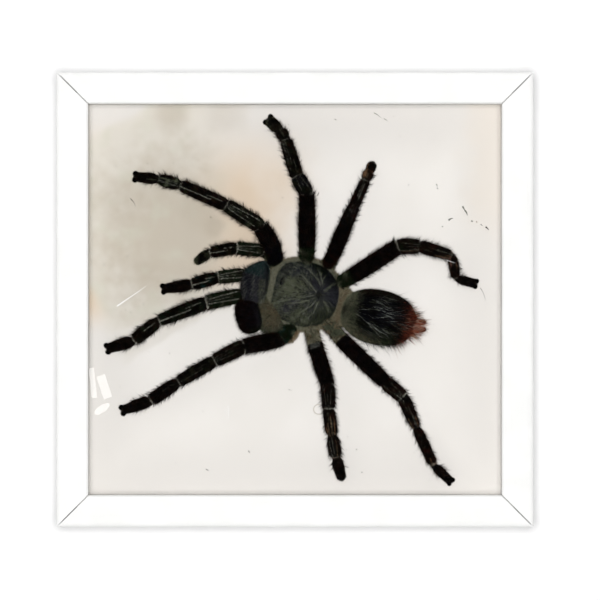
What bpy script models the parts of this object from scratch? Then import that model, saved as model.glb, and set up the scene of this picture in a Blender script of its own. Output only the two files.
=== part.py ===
"""A dried tarantula fixed in a slim white shadow-box frame.

Metres, +Z up.  The frame lies on its back: its rails stand on z = 0, the pane faces +Z,
and the origin is under the frame's middle.  The spider's head points towards -X and its
right side towards +Y.  Sizes below are in millimetres.
"""
import math

import bmesh
import bpy
from mathutils import Vector

MM = 0.001
GAP = 0.3                # clearance between neighbouring pieces

# Frame
SIGHT_WIDTH = 131.0      # opening between the lips, along X
SIGHT_HEIGHT = 124.0     # the same, along Y
FACE = 10.0              # width of a rail's face
WALL = 6.0               # thickness of a rail behind its lip
LIP = 3.0                # depth of the lip over the pane
ROUNDING = 1.6           # rounding of a rail's outer front edge
ROUNDING_STEPS = 5
SIGHT_BEVEL = 0.5        # bevel of the lip's edge over the pane
HANGER_SPACE = 3.0       # recess behind the back panel
BACK_THICK = 3.0
BOARD_THICK = 2.0
CLEAR_SPACE = 18.0       # from the board to the pane
PANE_THICK = 2.0
SPACER_THICK = 3.5

# Levels of the stack, from the wall side up
BACK_BOTTOM = HANGER_SPACE
BOARD_BOTTOM = BACK_BOTTOM + BACK_THICK + GAP
BOARD_TOP = BOARD_BOTTOM + BOARD_THICK
SPACER_BOTTOM = BOARD_TOP + GAP
PANE_BOTTOM = SPACER_BOTTOM + CLEAR_SPACE + GAP
LIP_BOTTOM = PANE_BOTTOM + PANE_THICK + GAP
DEPTH = LIP_BOTTOM + LIP

OUTER_WIDTH = SIGHT_WIDTH + 2 * FACE
OUTER_HEIGHT = SIGHT_HEIGHT + 2 * FACE
INNER_WIDTH = OUTER_WIDTH - 2 * WALL
INNER_HEIGHT = OUTER_HEIGHT - 2 * WALL

# Fixings on the back
TAB_LENGTH = 12.0
TAB_WIDTH = 6.0
TAB_THICK = 0.6
HANGER_LENGTH = 42.0
HANGER_WIDTH = 8.0
HANGER_THICK = 0.8
HANGER_TEETH = 9
HANGER_END_STEPS = 8     # steps round each end
TOOTH_DEPTH = 1.6
HANGER_DROP = 20.0       # from the frame's top edge to the hanger's middle
HANGER_HOLE = 1.2        # radius
NAIL_RADIUS = 0.8
NAIL_HEAD_RADIUS = 2.0
NAIL_HEAD_THICK = 0.5
CUTTER_REACH = 1.0       # how far a hole's cutter passes each face

# Spider: the body's axis, and the outline of the carapace in the body's own directions
# (forward, sideways), from the middle of its front edge round to the back
BODY_TURN = math.radians(167.0)
CARAPACE_CENTRE = (3.2, 1.6)
CARAPACE_OUTLINE = (
    (11.2, 0.0), (11.0, 5.4), (9.6, 7.8), (5.6, 10.2), (0.6, 11.2),
    (-4.2, 10.6), (-8.2, 8.2), (-10.8, 4.6), (-11.5, 0.0),
)
CARAPACE_SECTION = ((0.5, 0.66), (2.4, 0.8), (4.6, 1.0), (6.0, 0.98), (8.6, 0.8), (10.0, 0.48))
CARAPACE_HEIGHT = 10.4

ABDOMEN_CENTRE = (29.4, -6.5, 6.9)
ABDOMEN_RADII = (14.4, 9.0, 5.8)
ABDOMEN_TURN = math.radians(-13.0)

# The two chelicerae: middle, radii and turn
CHELICERAE = {
    "chelicera_right": ((-12.6, 5.6, 7.9), (4.3, 6.4, 3.2), math.radians(-8.0)),
    "chelicera_left": ((-14.4, -5.7, 6.1), (4.0, 5.0, 4.6), math.radians(8.0)),
}

# Spinnerets: root and tip
SPINNERETS = {
    "spinneret_right": ((37.3, -7.6, 1.2), (41.8, -7.0, 2.2)),
    "spinneret_left": ((37.3, -9.8, 1.2), (41.8, -9.6, 2.2)),
}
SPINNERET_RADII = (0.8, 0.6)
SPINNERET_SHAPE = ((0.0, 0.8), (0.15, 1.0), (0.6, 1.0), (0.9, 0.8), (1.0, 0.5))
SPINNERET_SIDES = 8

# Joints of each leg from the body outwards: x, y, height above the board, thickness there
# with its fur.  The rows are the root and the ends of the trochanter, femur, patella,
# tibia, metatarsus and tarsus; a pedipalp has no metatarsus.
LEGS = {
    "leg_1_right": (
        (-5.0, 11.7, 6.8, 4.0), (-7.0, 17.4, 7.3, 5.2), (-11.1, 23.4, 8.0, 4.8),
        (-22.0, 30.1, 7.0, 4.3), (-36.6, 36.5, 4.6, 3.8), (-43.6, 38.4, 3.2, 3.6),
        (-51.3, 39.2, 2.2, 2.8)),
    "leg_2_right": (
        (3.6, 13.4, 5.2, 3.8), (3.8, 16.8, 6.2, 4.8), (3.7, 33.9, 9.0, 4.7),
        (0.6, 39.3, 7.6, 4.4), (-3.0, 51.0, 4.4, 3.7), (-4.8, 54.0, 3.4, 3.4),
        (-8.1, 57.8, 2.2, 2.9)),
    "leg_3_right": (
        (10.7, 11.2, 5.2, 3.4), (12.2, 14.2, 5.8, 4.6), (16.2, 24.0, 8.0, 4.4),
        (18.8, 29.8, 6.6, 3.6), (22.6, 38.1, 4.4, 3.2), (23.6, 40.9, 3.0, 3.0),
        (24.2, 43.3, 2.0, 2.4)),
    "leg_4_right": (
        (14.9, 5.4, 5.2, 3.6), (18.2, 7.4, 6.0, 5.0), (33.1, 17.0, 8.2, 5.0),
        (39.8, 16.9, 7.6, 4.4), (49.7, 13.9, 6.2, 3.6), (51.3, 6.7, 2.8, 2.7),
        (58.0, 4.9, 1.9, 2.3)),
    "leg_1_left": (
        (-9.4, 1.8, 2.4, 3.4), (-12.4, 1.8, 2.4, 3.8), (-17.2, 1.4, 3.0, 4.6),
        (-28.7, -1.1, 4.6, 4.6), (-43.6, -6.8, 4.2, 3.8), (-51.6, -13.2, 3.0, 3.9),
        (-60.2, -15.8, 2.2, 3.0)),
    "leg_2_left": (
        (-1.2, -10.5, 5.2, 3.8), (-4.4, -12.6, 5.8, 5.0), (-16.6, -15.0, 7.0, 4.8),
        (-25.8, -19.6, 6.2, 4.2), (-37.3, -26.3, 4.2, 3.8), (-46.2, -32.3, 3.2, 4.0),
        (-55.4, -35.5, 2.2, 2.8)),
    "leg_3_left": (
        (5.4, -10.4, 5.2, 3.8), (6.2, -14.0, 6.0, 4.8), (10.5, -27.6, 7.4, 4.5),
        (10.7, -34.9, 6.6, 4.0), (11.8, -43.2, 4.4, 3.8), (13.1, -50.5, 3.2, 3.8),
        (15.1, -57.8, 2.2, 2.8)),
    "leg_4_left": (
        (11.1, -8.4, 5.2, 3.8), (14.6, -12.6, 6.0, 4.9), (28.7, -26.3, 7.6, 4.6),
        (34.4, -31.1, 6.6, 4.2), (38.7, -40.9, 4.6, 3.2), (44.3, -53.0, 2.8, 3.0),
        (50.0, -58.4, 1.9, 2.6)),
    "pedipalp_right": (
        (-5.0, 11.6, 2.2, 2.6), (-7.3, 14.2, 2.2, 3.4), (-10.4, 15.6, 3.0, 4.0),
        (-18.8, 16.4, 4.2, 4.0), (-27.4, 15.0, 3.6, 3.4), (-32.0, 11.6, 2.2, 2.4)),
    "pedipalp_left": (
        (-9.4, 6.0, 2.3, 3.0), (-12.4, 7.2, 2.3, 3.4), (-16.4, 8.0, 3.0, 4.2),
        (-24.8, 7.0, 4.0, 4.0), (-33.1, 4.8, 3.4, 3.9), (-42.4, 3.3, 2.2, 2.8)),
}
STEPS_PER_SEGMENT = 4

# Colours as red, green, blue; then roughness and metallic
WHITE_PAINT = ((0.86, 0.86, 0.84), 0.4, 0.0)
CLEAR_GLASS = ((0.95, 0.97, 0.97), 0.03, 0.0)
WHITE_CARD = ((0.88, 0.87, 0.84), 0.9, 0.0)
CREAM_PAPER = ((0.84, 0.79, 0.72), 0.9, 0.0)
HARDBOARD = ((0.33, 0.21, 0.12), 0.85, 0.0)
STEEL = ((0.55, 0.55, 0.56), 0.35, 1.0)
BRASS = ((0.72, 0.55, 0.24), 0.35, 1.0)
CARAPACE_GREY = ((0.07, 0.075, 0.06), 0.7, 0.0)
ABDOMEN_DARK = ((0.05, 0.045, 0.035), 0.85, 0.0)
CHELICERA_DARK = ((0.035, 0.04, 0.045), 0.7, 0.0)
LEG_BLACK = ((0.016, 0.013, 0.011), 0.85, 0.0)
RUST_HAIR = ((0.2, 0.05, 0.03), 0.85, 0.0)


def clear_scene():
    for old in list(bpy.data.objects):
        bpy.data.objects.remove(old, do_unlink=True)


def material(name, finish):
    colour, roughness, metallic = finish
    made = bpy.data.materials.new(name)
    made.use_nodes = True
    shader = made.node_tree.nodes["Principled BSDF"]
    shader.inputs["Base Color"].default_value = (*colour, 1.0)
    shader.inputs["Roughness"].default_value = roughness
    shader.inputs["Metallic"].default_value = metallic
    return made


def add_object(name, data, finish):
    made = bpy.data.objects.new(name, data)
    bpy.context.scene.collection.objects.link(made)
    data.materials.append(material(name, finish))
    return made


def mesh_from_rings(name, rings, finish, smooth=False):
    """A closed body from equal rings of points in millimetres, capped at both ends."""
    bm = bmesh.new()
    rows = [[bm.verts.new(Vector(point) * MM) for point in ring] for ring in rings]
    for lower, upper in zip(rows, rows[1:]):
        for i in range(len(lower)):
            j = (i + 1) % len(lower)
            bm.faces.new((lower[i], lower[j], upper[j], upper[i]))
    bm.faces.new(rows[0])
    bm.faces.new(rows[-1])
    bmesh.ops.recalc_face_normals(bm, faces=bm.faces)
    mesh = bpy.data.meshes.new(name)
    bm.to_mesh(mesh)
    bm.free()
    if smooth:
        mesh.shade_smooth()
        mesh.set_sharp_from_angle(angle=math.radians(50.0))
    return add_object(name, mesh, finish)


def plate(name, centre, size, finish):
    """A flat rectangular piece: its middle in X and Y, its underside in Z."""
    cx, cy, bottom = centre
    half_x = size[0] / 2
    half_y = size[1] / 2
    corners = [(cx - half_x, cy - half_y), (cx + half_x, cy - half_y),
               (cx + half_x, cy + half_y), (cx - half_x, cy + half_y)]
    rings = [[(x, y, z) for x, y in corners] for z in (bottom, bottom + size[2])]
    return mesh_from_rings(name, rings, finish)


# ---------------------------------------------------------------- frame

def rail_profile():
    """Section of a rail as (distance in from the outer side, height)."""
    points = [(0.0, 0.0), (WALL, 0.0), (WALL, LIP_BOTTOM), (FACE, LIP_BOTTOM),
              (FACE, DEPTH - SIGHT_BEVEL), (FACE - SIGHT_BEVEL, DEPTH)]
    for step in range(ROUNDING_STEPS + 1):
        turn = math.pi / 2 * step / ROUNDING_STEPS
        points.append((ROUNDING * (1 - math.sin(turn)), DEPTH - ROUNDING * (1 - math.cos(turn))))
    return points


def rail(name, length, across, turn):
    """A mitred rail: its length outside, the distance of its outer side from the middle."""
    mitre_play = GAP * math.sqrt(2) / 2
    cos_turn = math.cos(turn)
    sin_turn = math.sin(turn)
    rings = []
    for side in (-1, 1):
        ring = []
        for inward, height in rail_profile():
            along = side * (length / 2 - inward - mitre_play)
            out = across - inward
            ring.append((along * cos_turn - out * sin_turn, along * sin_turn + out * cos_turn, height))
        rings.append(ring)
    return mesh_from_rings(name, rings, WHITE_PAINT)


def build_frame():
    rail("rail_top", OUTER_WIDTH, OUTER_HEIGHT / 2, 0.0)
    rail("rail_left", OUTER_HEIGHT, OUTER_WIDTH / 2, math.pi / 2)
    rail("rail_bottom", OUTER_WIDTH, OUTER_HEIGHT / 2, math.pi)
    rail("rail_right", OUTER_HEIGHT, OUTER_WIDTH / 2, -math.pi / 2)
    fitted = (INNER_WIDTH - 2 * GAP, INNER_HEIGHT - 2 * GAP)
    plate("glazing", (0, 0, PANE_BOTTOM), (*fitted, PANE_THICK), CLEAR_GLASS)
    plate("mounting_board", (0, 0, BOARD_BOTTOM), (*fitted, BOARD_THICK), CREAM_PAPER)
    plate("back_panel", (0, 0, BACK_BOTTOM), (*fitted, BACK_THICK), HARDBOARD)
    build_spacers(*fitted)


def build_spacers(width, height):
    """Strips on edge round the board: the top and bottom ones run the full width."""
    side_y = height / 2 - SPACER_THICK / 2
    side_x = width / 2 - SPACER_THICK / 2
    short = height - 2 * (SPACER_THICK + GAP)
    long_size = (width, SPACER_THICK, CLEAR_SPACE)
    short_size = (SPACER_THICK, short, CLEAR_SPACE)
    plate("spacer_top", (0, side_y, SPACER_BOTTOM), long_size, WHITE_CARD)
    plate("spacer_bottom", (0, -side_y, SPACER_BOTTOM), long_size, WHITE_CARD)
    plate("spacer_left", (-side_x, 0, SPACER_BOTTOM), short_size, WHITE_CARD)
    plate("spacer_right", (side_x, 0, SPACER_BOTTOM), short_size, WHITE_CARD)


def build_back_tabs():
    """Flat steel tabs against the rails' inner walls that hold the back panel in."""
    bottom = BACK_BOTTOM - GAP - TAB_THICK
    reach_x = INNER_WIDTH / 2 - GAP - TAB_LENGTH / 2
    reach_y = INNER_HEIGHT / 2 - GAP - TAB_LENGTH / 2
    upright = (TAB_WIDTH, TAB_LENGTH, TAB_THICK)
    flat = (TAB_LENGTH, TAB_WIDTH, TAB_THICK)
    plate("back_tab_top", (-OUTER_WIDTH / 4, reach_y, bottom), upright, STEEL)
    plate("back_tab_bottom", (OUTER_WIDTH / 4, -reach_y, bottom), upright, STEEL)
    plate("back_tab_left", (-reach_x, 0, bottom), flat, STEEL)
    plate("back_tab_right", (reach_x, 0, bottom), flat, STEEL)


def hanger_outline():
    """The plate's edge: round ends, straight top edge, teeth along the lower edge."""
    half = HANGER_LENGTH / 2
    radius = HANGER_WIDTH / 2
    straight = half - radius
    points = []
    for side in (1, -1):
        for step in range(HANGER_END_STEPS + 1):
            turn = math.pi * (step / HANGER_END_STEPS - side / 2)
            points.append((side * straight + radius * math.cos(turn), radius * math.sin(turn)))
    pitch = 2 * (straight - radius) / HANGER_TEETH
    start = -(straight - radius)
    for tooth in range(HANGER_TEETH):
        left = start + tooth * pitch
        points.append((left, -radius))
        points.append((left + pitch / 2, -radius + TOOTH_DEPTH))
    points.append((start + HANGER_TEETH * pitch, -radius))
    return points


def build_hanger():
    """A toothed plate flat against the back panel, held by a nail at each end."""
    middle = OUTER_HEIGHT / 2 - HANGER_DROP
    bottom = BACK_BOTTOM - GAP - HANGER_THICK
    rings = [[(x, y + middle, z) for x, y in hanger_outline()]
             for z in (bottom, bottom + HANGER_THICK)]
    hanger = mesh_from_rings("hanger", rings, STEEL)
    hole_x = HANGER_LENGTH / 2 - HANGER_WIDTH / 2
    for side, name in ((-1, "hanger_nail_left"), (1, "hanger_nail_right")):
        cutter = round_bar("cutter_" + name, side * hole_x, middle,
                           ((bottom - CUTTER_REACH, HANGER_HOLE),
                            (bottom + HANGER_THICK + CUTTER_REACH, HANGER_HOLE)), STEEL)
        cutter.hide_render = True
        cutter.display_type = "WIRE"
        cut = hanger.modifiers.new("hole", "BOOLEAN")
        cut.operation = "DIFFERENCE"
        cut.object = cutter
        head = bottom - GAP
        shape = ((head - NAIL_HEAD_THICK, NAIL_HEAD_RADIUS * 0.8), (head, NAIL_HEAD_RADIUS),
                 (head, NAIL_RADIUS), (BACK_BOTTOM - GAP, NAIL_RADIUS))
        round_bar(name, side * hole_x, middle, shape, BRASS)


def round_bar(name, x, y, shape, finish, sides=16):
    """A turned piece along Z, from (height, radius) pairs."""
    turns = [2 * math.pi * i / sides for i in range(sides)]
    rings = [[(x + radius * math.cos(turn), y + radius * math.sin(turn), height) for turn in turns]
             for height, radius in shape]
    return mesh_from_rings(name, rings, finish)


# ---------------------------------------------------------------- spider

def smooth_path(knots, steps):
    """Points on a smooth curve through the knots, with steps between two of them."""
    knots = [Vector(knot) for knot in knots]
    padded = [2 * knots[0] - knots[1]] + knots + [2 * knots[-1] - knots[-2]]
    path = []
    for a, b, c, d in zip(padded, padded[1:], padded[2:], padded[3:]):
        for step in range(steps):
            t = step / steps
            path.append(0.5 * (2 * b + (c - a) * t + (2 * a - 5 * b + 4 * c - d) * t ** 2
                               + (3 * b - a - 3 * c + d) * t ** 3))
    path.append(knots[-1])
    return path


def leg(name, joints):
    """A tube as thick as the furred leg, rounded where it meets the body."""
    curve = bpy.data.curves.new(name, "CURVE")
    curve.dimensions = "3D"
    curve.bevel_depth = MM
    curve.bevel_resolution = 2
    curve.use_fill_caps = True
    path = smooth_path([joint[:3] for joint in joints], STEPS_PER_SEGMENT)
    widths = [Vector((joint[3], 0)) for joint in joints]
    radii = [width.x / 2 for width in smooth_path(widths, STEPS_PER_SEGMENT)]
    spline = curve.splines.new("POLY")
    spline.points.add(len(path) - 1)
    for point, place, radius in zip(spline.points, path, radii):
        raised = place + Vector((0, 0, BOARD_TOP))
        point.co = (*(raised * MM), 1.0)
        point.radius = radius
    spline.use_smooth = True
    return add_object(name, curve, LEG_BLACK)


def body_to_frame(forward, sideways):
    """From the spider's own directions to X and Y in the frame."""
    cos_turn = math.cos(BODY_TURN)
    sin_turn = math.sin(BODY_TURN)
    x = CARAPACE_CENTRE[0] + forward * cos_turn + sideways * sin_turn
    y = CARAPACE_CENTRE[1] + forward * sin_turn - sideways * cos_turn
    return x, y


def cephalothorax():
    """Carapace dome over the narrower sternum and coxae."""
    mirrored = [(forward, -sideways) for forward, sideways in CARAPACE_OUTLINE[-2:0:-1]]
    outline = list(CARAPACE_OUTLINE) + mirrored
    rings = []
    for height, share in (*CARAPACE_SECTION, (CARAPACE_HEIGHT, 0.2)):
        ring = [body_to_frame(forward * share, sideways * share) for forward, sideways in outline]
        rings.append([(x, y, height + BOARD_TOP) for x, y in ring])
    return mesh_from_rings("cephalothorax", rings, CARAPACE_GREY, smooth=True)


def egg(name, centre, radii, turn, finish, squareness=1.0, sides=16, levels=10):
    """A rounded body lying flat; squareness below 1 fills out its corners."""
    def push(value):
        return math.copysign(abs(value) ** squareness, value)

    rings = []
    for level in range(1, levels):
        tilt = math.pi * level / levels
        along = -push(math.cos(tilt)) * radii[0]
        girth = push(math.sin(tilt))
        ring = []
        for i in range(sides):
            spin = 2 * math.pi * i / sides
            side = girth * push(math.cos(spin)) * radii[1]
            up = girth * push(math.sin(spin)) * radii[2]
            ring.append((centre[0] + along * math.cos(turn) - side * math.sin(turn),
                         centre[1] + along * math.sin(turn) + side * math.cos(turn),
                         centre[2] + up + BOARD_TOP))
        rings.append(ring)
    return mesh_from_rings(name, rings, finish, smooth=True)


def spinneret(name, root, tip):
    """A short tapered finger behind the abdomen."""
    root = Vector(root)
    tip = Vector(tip)
    direction = (tip - root).normalized()
    side = direction.cross(Vector((0, 0, 1))).normalized()
    up = side.cross(direction)
    turns = [2 * math.pi * i / SPINNERET_SIDES for i in range(SPINNERET_SIDES)]
    rings = []
    for share, width in SPINNERET_SHAPE:
        radius = width * (SPINNERET_RADII[0] * (1 - share) + SPINNERET_RADII[1] * share)
        middle = root.lerp(tip, share) + Vector((0, 0, BOARD_TOP))
        rings.append([middle + radius * (math.cos(turn) * side + math.sin(turn) * up)
                      for turn in turns])
    return mesh_from_rings(name, rings, RUST_HAIR, smooth=True)


def build_spider():
    cephalothorax()
    egg("abdomen", ABDOMEN_CENTRE, ABDOMEN_RADII, ABDOMEN_TURN, ABDOMEN_DARK, levels=14, sides=20)
    for name, (centre, radii, turn) in CHELICERAE.items():
        egg(name, centre, radii, turn, CHELICERA_DARK, squareness=0.85)
    for name, (root, tip) in SPINNERETS.items():
        spinneret(name, root, tip)
    for name, joints in LEGS.items():
        leg(name, joints)


def main():
    clear_scene()
    build_frame()
    build_back_tabs()
    build_hanger()
    build_spider()


main()
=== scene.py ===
"""Looks of the framed tarantula specimen: its skin, fur, board, pane, frame and light."""
import math

import bpy
import numpy as np
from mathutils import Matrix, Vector


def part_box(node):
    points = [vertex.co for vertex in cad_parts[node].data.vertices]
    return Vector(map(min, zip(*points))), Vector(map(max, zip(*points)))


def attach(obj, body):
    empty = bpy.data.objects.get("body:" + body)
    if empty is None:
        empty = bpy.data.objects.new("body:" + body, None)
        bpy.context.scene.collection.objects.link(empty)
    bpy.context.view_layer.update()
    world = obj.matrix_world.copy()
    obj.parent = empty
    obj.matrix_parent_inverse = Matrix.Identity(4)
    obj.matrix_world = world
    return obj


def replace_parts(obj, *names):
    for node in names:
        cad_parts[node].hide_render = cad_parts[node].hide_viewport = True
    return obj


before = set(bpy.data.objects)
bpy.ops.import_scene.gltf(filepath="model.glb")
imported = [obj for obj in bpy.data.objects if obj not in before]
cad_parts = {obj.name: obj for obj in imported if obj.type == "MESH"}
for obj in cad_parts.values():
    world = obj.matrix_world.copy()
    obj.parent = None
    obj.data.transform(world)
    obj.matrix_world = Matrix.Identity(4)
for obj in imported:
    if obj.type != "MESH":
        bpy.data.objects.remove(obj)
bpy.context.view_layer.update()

MM = 0.001
BOARD_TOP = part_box("mounting_board")[1].z / MM       # millimetres, as all the sizes below
PANE_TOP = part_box("glazing")[1].z / MM
LIP_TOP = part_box("rail_top")[1].z / MM

# Joints of each leg from the body outwards: x, y, height above the board, thickness there
# with its fur.  The rows are the root and the ends of the trochanter, femur, patella,
# tibia, metatarsus and tarsus; a pedipalp has no metatarsus.
LEGS = {
    "leg_1_right": (
        (-6.9, 12.2, 6.4, 5.2), (-7.4, 17.6, 7.3, 5.5), (-11.1, 23.4, 8.0, 4.9),
        (-22.0, 30.1, 7.0, 4.3), (-36.6, 36.5, 4.6, 3.8), (-43.6, 38.4, 3.2, 3.6),
        (-51.3, 39.2, 2.2, 2.8)),
    "leg_2_right": (
        (3.6, 13.4, 5.2, 4.4), (3.8, 16.8, 6.2, 5.2), (3.8, 33.9, 9.0, 4.8),
        (0.6, 39.3, 7.6, 4.4), (-3.0, 51.0, 4.4, 3.9), (-4.9, 54.0, 3.4, 3.8),
        (-8.8, 57.6, 2.2, 3.4)),
    "leg_3_right": (
        (10.7, 11.2, 5.2, 3.4), (12.2, 14.2, 5.8, 4.6), (16.2, 24.0, 8.0, 4.4),
        (18.8, 29.8, 6.6, 3.6), (22.5, 38.1, 4.4, 3.2), (23.7, 40.9, 3.2, 3.4),
        (25.0, 43.9, 2.2, 2.5)),
    "leg_4_right": (
        (14.9, 5.4, 5.2, 3.6), (18.2, 7.4, 6.0, 5.0), (33.1, 17.0, 8.2, 5.0),
        (39.8, 16.9, 7.6, 4.3), (50.0, 14.0, 6.2, 3.3), (51.3, 6.7, 2.8, 2.8),
        (58.0, 4.9, 1.9, 2.9)),
    "leg_1_left": (
        (-9.4, 1.8, 2.4, 3.4), (-12.4, 1.8, 2.4, 3.8), (-17.2, 1.4, 3.0, 4.6),
        (-28.7, -1.1, 4.6, 4.6), (-43.6, -6.8, 4.2, 3.8), (-51.6, -13.2, 3.0, 3.9),
        (-60.2, -15.8, 2.2, 3.0)),
    "leg_2_left": (
        (-1.2, -10.5, 5.2, 3.8), (-4.4, -12.6, 5.8, 5.0), (-16.6, -15.0, 7.0, 4.8),
        (-25.8, -19.6, 6.2, 4.2), (-37.3, -26.3, 4.2, 3.8), (-46.2, -32.3, 3.2, 4.0),
        (-55.4, -35.5, 2.2, 2.8)),
    "leg_3_left": (
        (5.4, -10.4, 5.2, 3.8), (6.2, -14.0, 6.0, 4.8), (10.5, -27.6, 7.4, 4.5),
        (10.7, -34.9, 6.6, 4.0), (11.8, -43.2, 4.4, 3.8), (13.1, -50.5, 3.2, 3.8),
        (15.1, -57.8, 2.2, 2.8)),
    "leg_4_left": (
        (11.1, -8.4, 5.2, 3.8), (14.6, -12.6, 6.0, 4.9), (28.7, -26.3, 7.6, 4.6),
        (34.4, -31.1, 6.6, 4.2), (38.7, -40.9, 4.6, 3.2), (44.3, -53.0, 2.8, 3.0),
        (50.0, -58.4, 1.9, 2.6)),
    "pedipalp_right": (
        (-5.0, 11.6, 2.2, 2.6), (-7.3, 14.2, 2.2, 3.4), (-10.4, 15.6, 3.0, 4.0),
        (-18.8, 16.4, 4.2, 4.0), (-27.4, 15.0, 3.6, 3.4), (-32.0, 11.6, 2.2, 2.4)),
    "pedipalp_left": (
        (-9.4, 6.0, 2.3, 3.0), (-12.4, 7.2, 2.3, 3.4), (-16.4, 8.0, 3.0, 4.2),
        (-24.8, 7.0, 4.0, 4.0), (-33.1, 4.8, 3.4, 3.9), (-42.4, 3.3, 2.2, 2.8)),
}
LEG_PARTS = ("trochanter", "femur", "patella", "tibia", "metatarsus", "tarsus")
PALP_PARTS = ("trochanter", "femur", "patella", "tibia", "tarsus")
PART_INDEX = {part: i for i, part in enumerate(LEG_PARTS)}

# Carapace outline in the body's own directions (forward, sideways)
BODY_TURN = math.radians(167.0)
CARAPACE_CENTRE = (3.2, 1.6)
CARAPACE_OUTLINE = (
    (12.0, 0.0), (11.8, 5.0), (10.6, 7.6), (6.4, 10.0), (0.8, 11.2),
    (-4.2, 10.6), (-8.2, 8.2), (-10.8, 4.6), (-11.5, 0.0),
)
FOVEA = (7.6, 1.3)
EYES = (-3.9, 5.8)

# Fur colours, linear red, green, blue
FUR = {
    "black": (0.0010, 0.0008, 0.0007),
    "blue_black": (0.0012, 0.0016, 0.0045),
    "moss": (0.006, 0.013, 0.005),
    "maroon": (0.020, 0.004, 0.0025),
    "brown": (0.014, 0.007, 0.004),
    "olive": (0.046, 0.050, 0.030),
    "slate": (0.034, 0.037, 0.040),
    "violet": (0.030, 0.027, 0.038),
    "teal": (0.006, 0.030, 0.027),
    "sage": (0.115, 0.125, 0.082),
    "grey": (0.17, 0.175, 0.15),
    "silver": (0.27, 0.29, 0.26),
    "straw": (0.24, 0.225, 0.155),
    "pale": (0.52, 0.52, 0.45),
    "beige": (0.25, 0.185, 0.115),
    "tan": (0.25, 0.145, 0.08),
    "rust": (0.20, 0.042, 0.020),
    "red": (0.15, 0.014, 0.008),
    "pink": (0.42, 0.23, 0.18),
    "scratch": (0.95, 0.95, 0.94),
    "drop": (0.56, 0.51, 0.44),
}


# ---------------------------------------------------------------- materials

def wire(socket, value):
    """Links a socket to another node's output, or sets it to a number, vector or colour."""
    if isinstance(value, bpy.types.NodeSocket):
        socket.id_data.links.new(value, socket)
    elif socket.type == "RGBA":
        socket.default_value = (*value, 1.0)
    else:
        socket.default_value = value


def new_material(name):
    """A material, its shader, and a helper that adds a node with its inputs and settings."""
    made = bpy.data.materials.new(name)
    made.use_nodes = True
    tree = made.node_tree

    def add(kind, inputs=None, **settings):
        node = tree.nodes.new(kind)
        for key, value in settings.items():
            setattr(node, key, value)
        for key, value in (inputs or {}).items():
            wire(node.inputs[key], value)
        return node

    return made, tree.nodes["Principled BSDF"], add


def mix(add, factor, low, high):
    """Colour between low and high."""
    return add("ShaderNodeMix", {0: factor, 6: low, 7: high}, data_type="RGBA").outputs[2]


def math_node(add, operation, *values):
    return add("ShaderNodeMath", dict(enumerate(values)), operation=operation).outputs[0]


def product(add, a, b):
    return math_node(add, "MULTIPLY", a, b)


def noise(add, coords, scale, detail=4.0, roughness=0.5):
    node = add("ShaderNodeTexNoise", {"Vector": coords, "Scale": scale, "Detail": detail,
                                      "Roughness": roughness})
    return node.outputs["Fac"]


def ramp(add, value, low, high):
    """A smooth step from 0 at low to 1 at high; it falls where low is above high."""
    node = add("ShaderNodeMapRange", {"Value": value, "From Min": low, "From Max": high},
               interpolation_type="SMOOTHSTEP")
    return node.outputs["Result"]


def coords_of(add):
    return add("ShaderNodeTexCoord").outputs["Object"]


def bump(add, shader, height, strength, distance):
    node = add("ShaderNodeBump", {"Height": height, "Strength": strength, "Distance": distance})
    wire(shader.inputs["Normal"], node.outputs["Normal"])


def fur_material(colour_name):
    """Plain hair colour; hairs are too fine to carry a pattern of their own."""
    made, shader, _ = new_material("hair_" + colour_name)
    shader.inputs["Base Color"].default_value = (*FUR[colour_name], 1.0)
    shader.inputs["Roughness"].default_value = 0.55
    shader.inputs["Specular IOR Level"].default_value = 0.12
    return made


# Skins under the fur: dark, tinted and pale colours, and the roughness
SKIN_LOOKS = {
    "leg_skin": ((0.0012, 0.001, 0.001), (0.004, 0.003, 0.002), (0.42, 0.40, 0.33)),
    "carapace_skin": ((0.01, 0.011, 0.012), (0.02, 0.021, 0.015), (0.09, 0.09, 0.06)),
    "coxa_skin": ((0.02, 0.018, 0.01), (0.05, 0.035, 0.02), (0.16, 0.12, 0.07)),
    "chelicera_skin": ((0.002, 0.002, 0.003), (0.006, 0.006, 0.009), (0.1, 0.1, 0.09), 0.4),
    "abdomen_skin": ((0.0015, 0.0013, 0.0013), (0.006, 0.006, 0.004), (0.1, 0.1, 0.07), 0.6),
    "spinneret_skin": ((0.05, 0.006, 0.004), (0.1, 0.012, 0.008), (0.2, 0.06, 0.04)),
    "eye_gloss": ((0.002, 0.002, 0.002), (0.004, 0.0035, 0.003), (0.05, 0.05, 0.05), 0.08),
}


def skin_material(name, dark, tinted, light, roughness=0.55):
    """Chitin under the fur: two mottled darks, and light where the mesh's pale mask says so."""
    made, shader, add = new_material(name)
    coords = coords_of(add)
    mottle = ramp(add, noise(add, coords, 900.0), 0.35, 0.65)
    colour = mix(add, mottle, dark, tinted)
    grain = noise(add, coords, 4200.0, detail=2.0)
    pale = add("ShaderNodeAttribute", attribute_name="pale").outputs["Fac"]
    pale_mask = product(add, pale, ramp(add, grain, 0.25, 0.5))
    wire(shader.inputs["Base Color"], mix(add, pale_mask, colour, light))
    shader.inputs["Roughness"].default_value = roughness
    shader.inputs["Specular IOR Level"].default_value = 0.3
    bump(add, shader, grain, 0.5, 0.0001)
    return made


# ---------------------------------------------------------------- meshes

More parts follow.
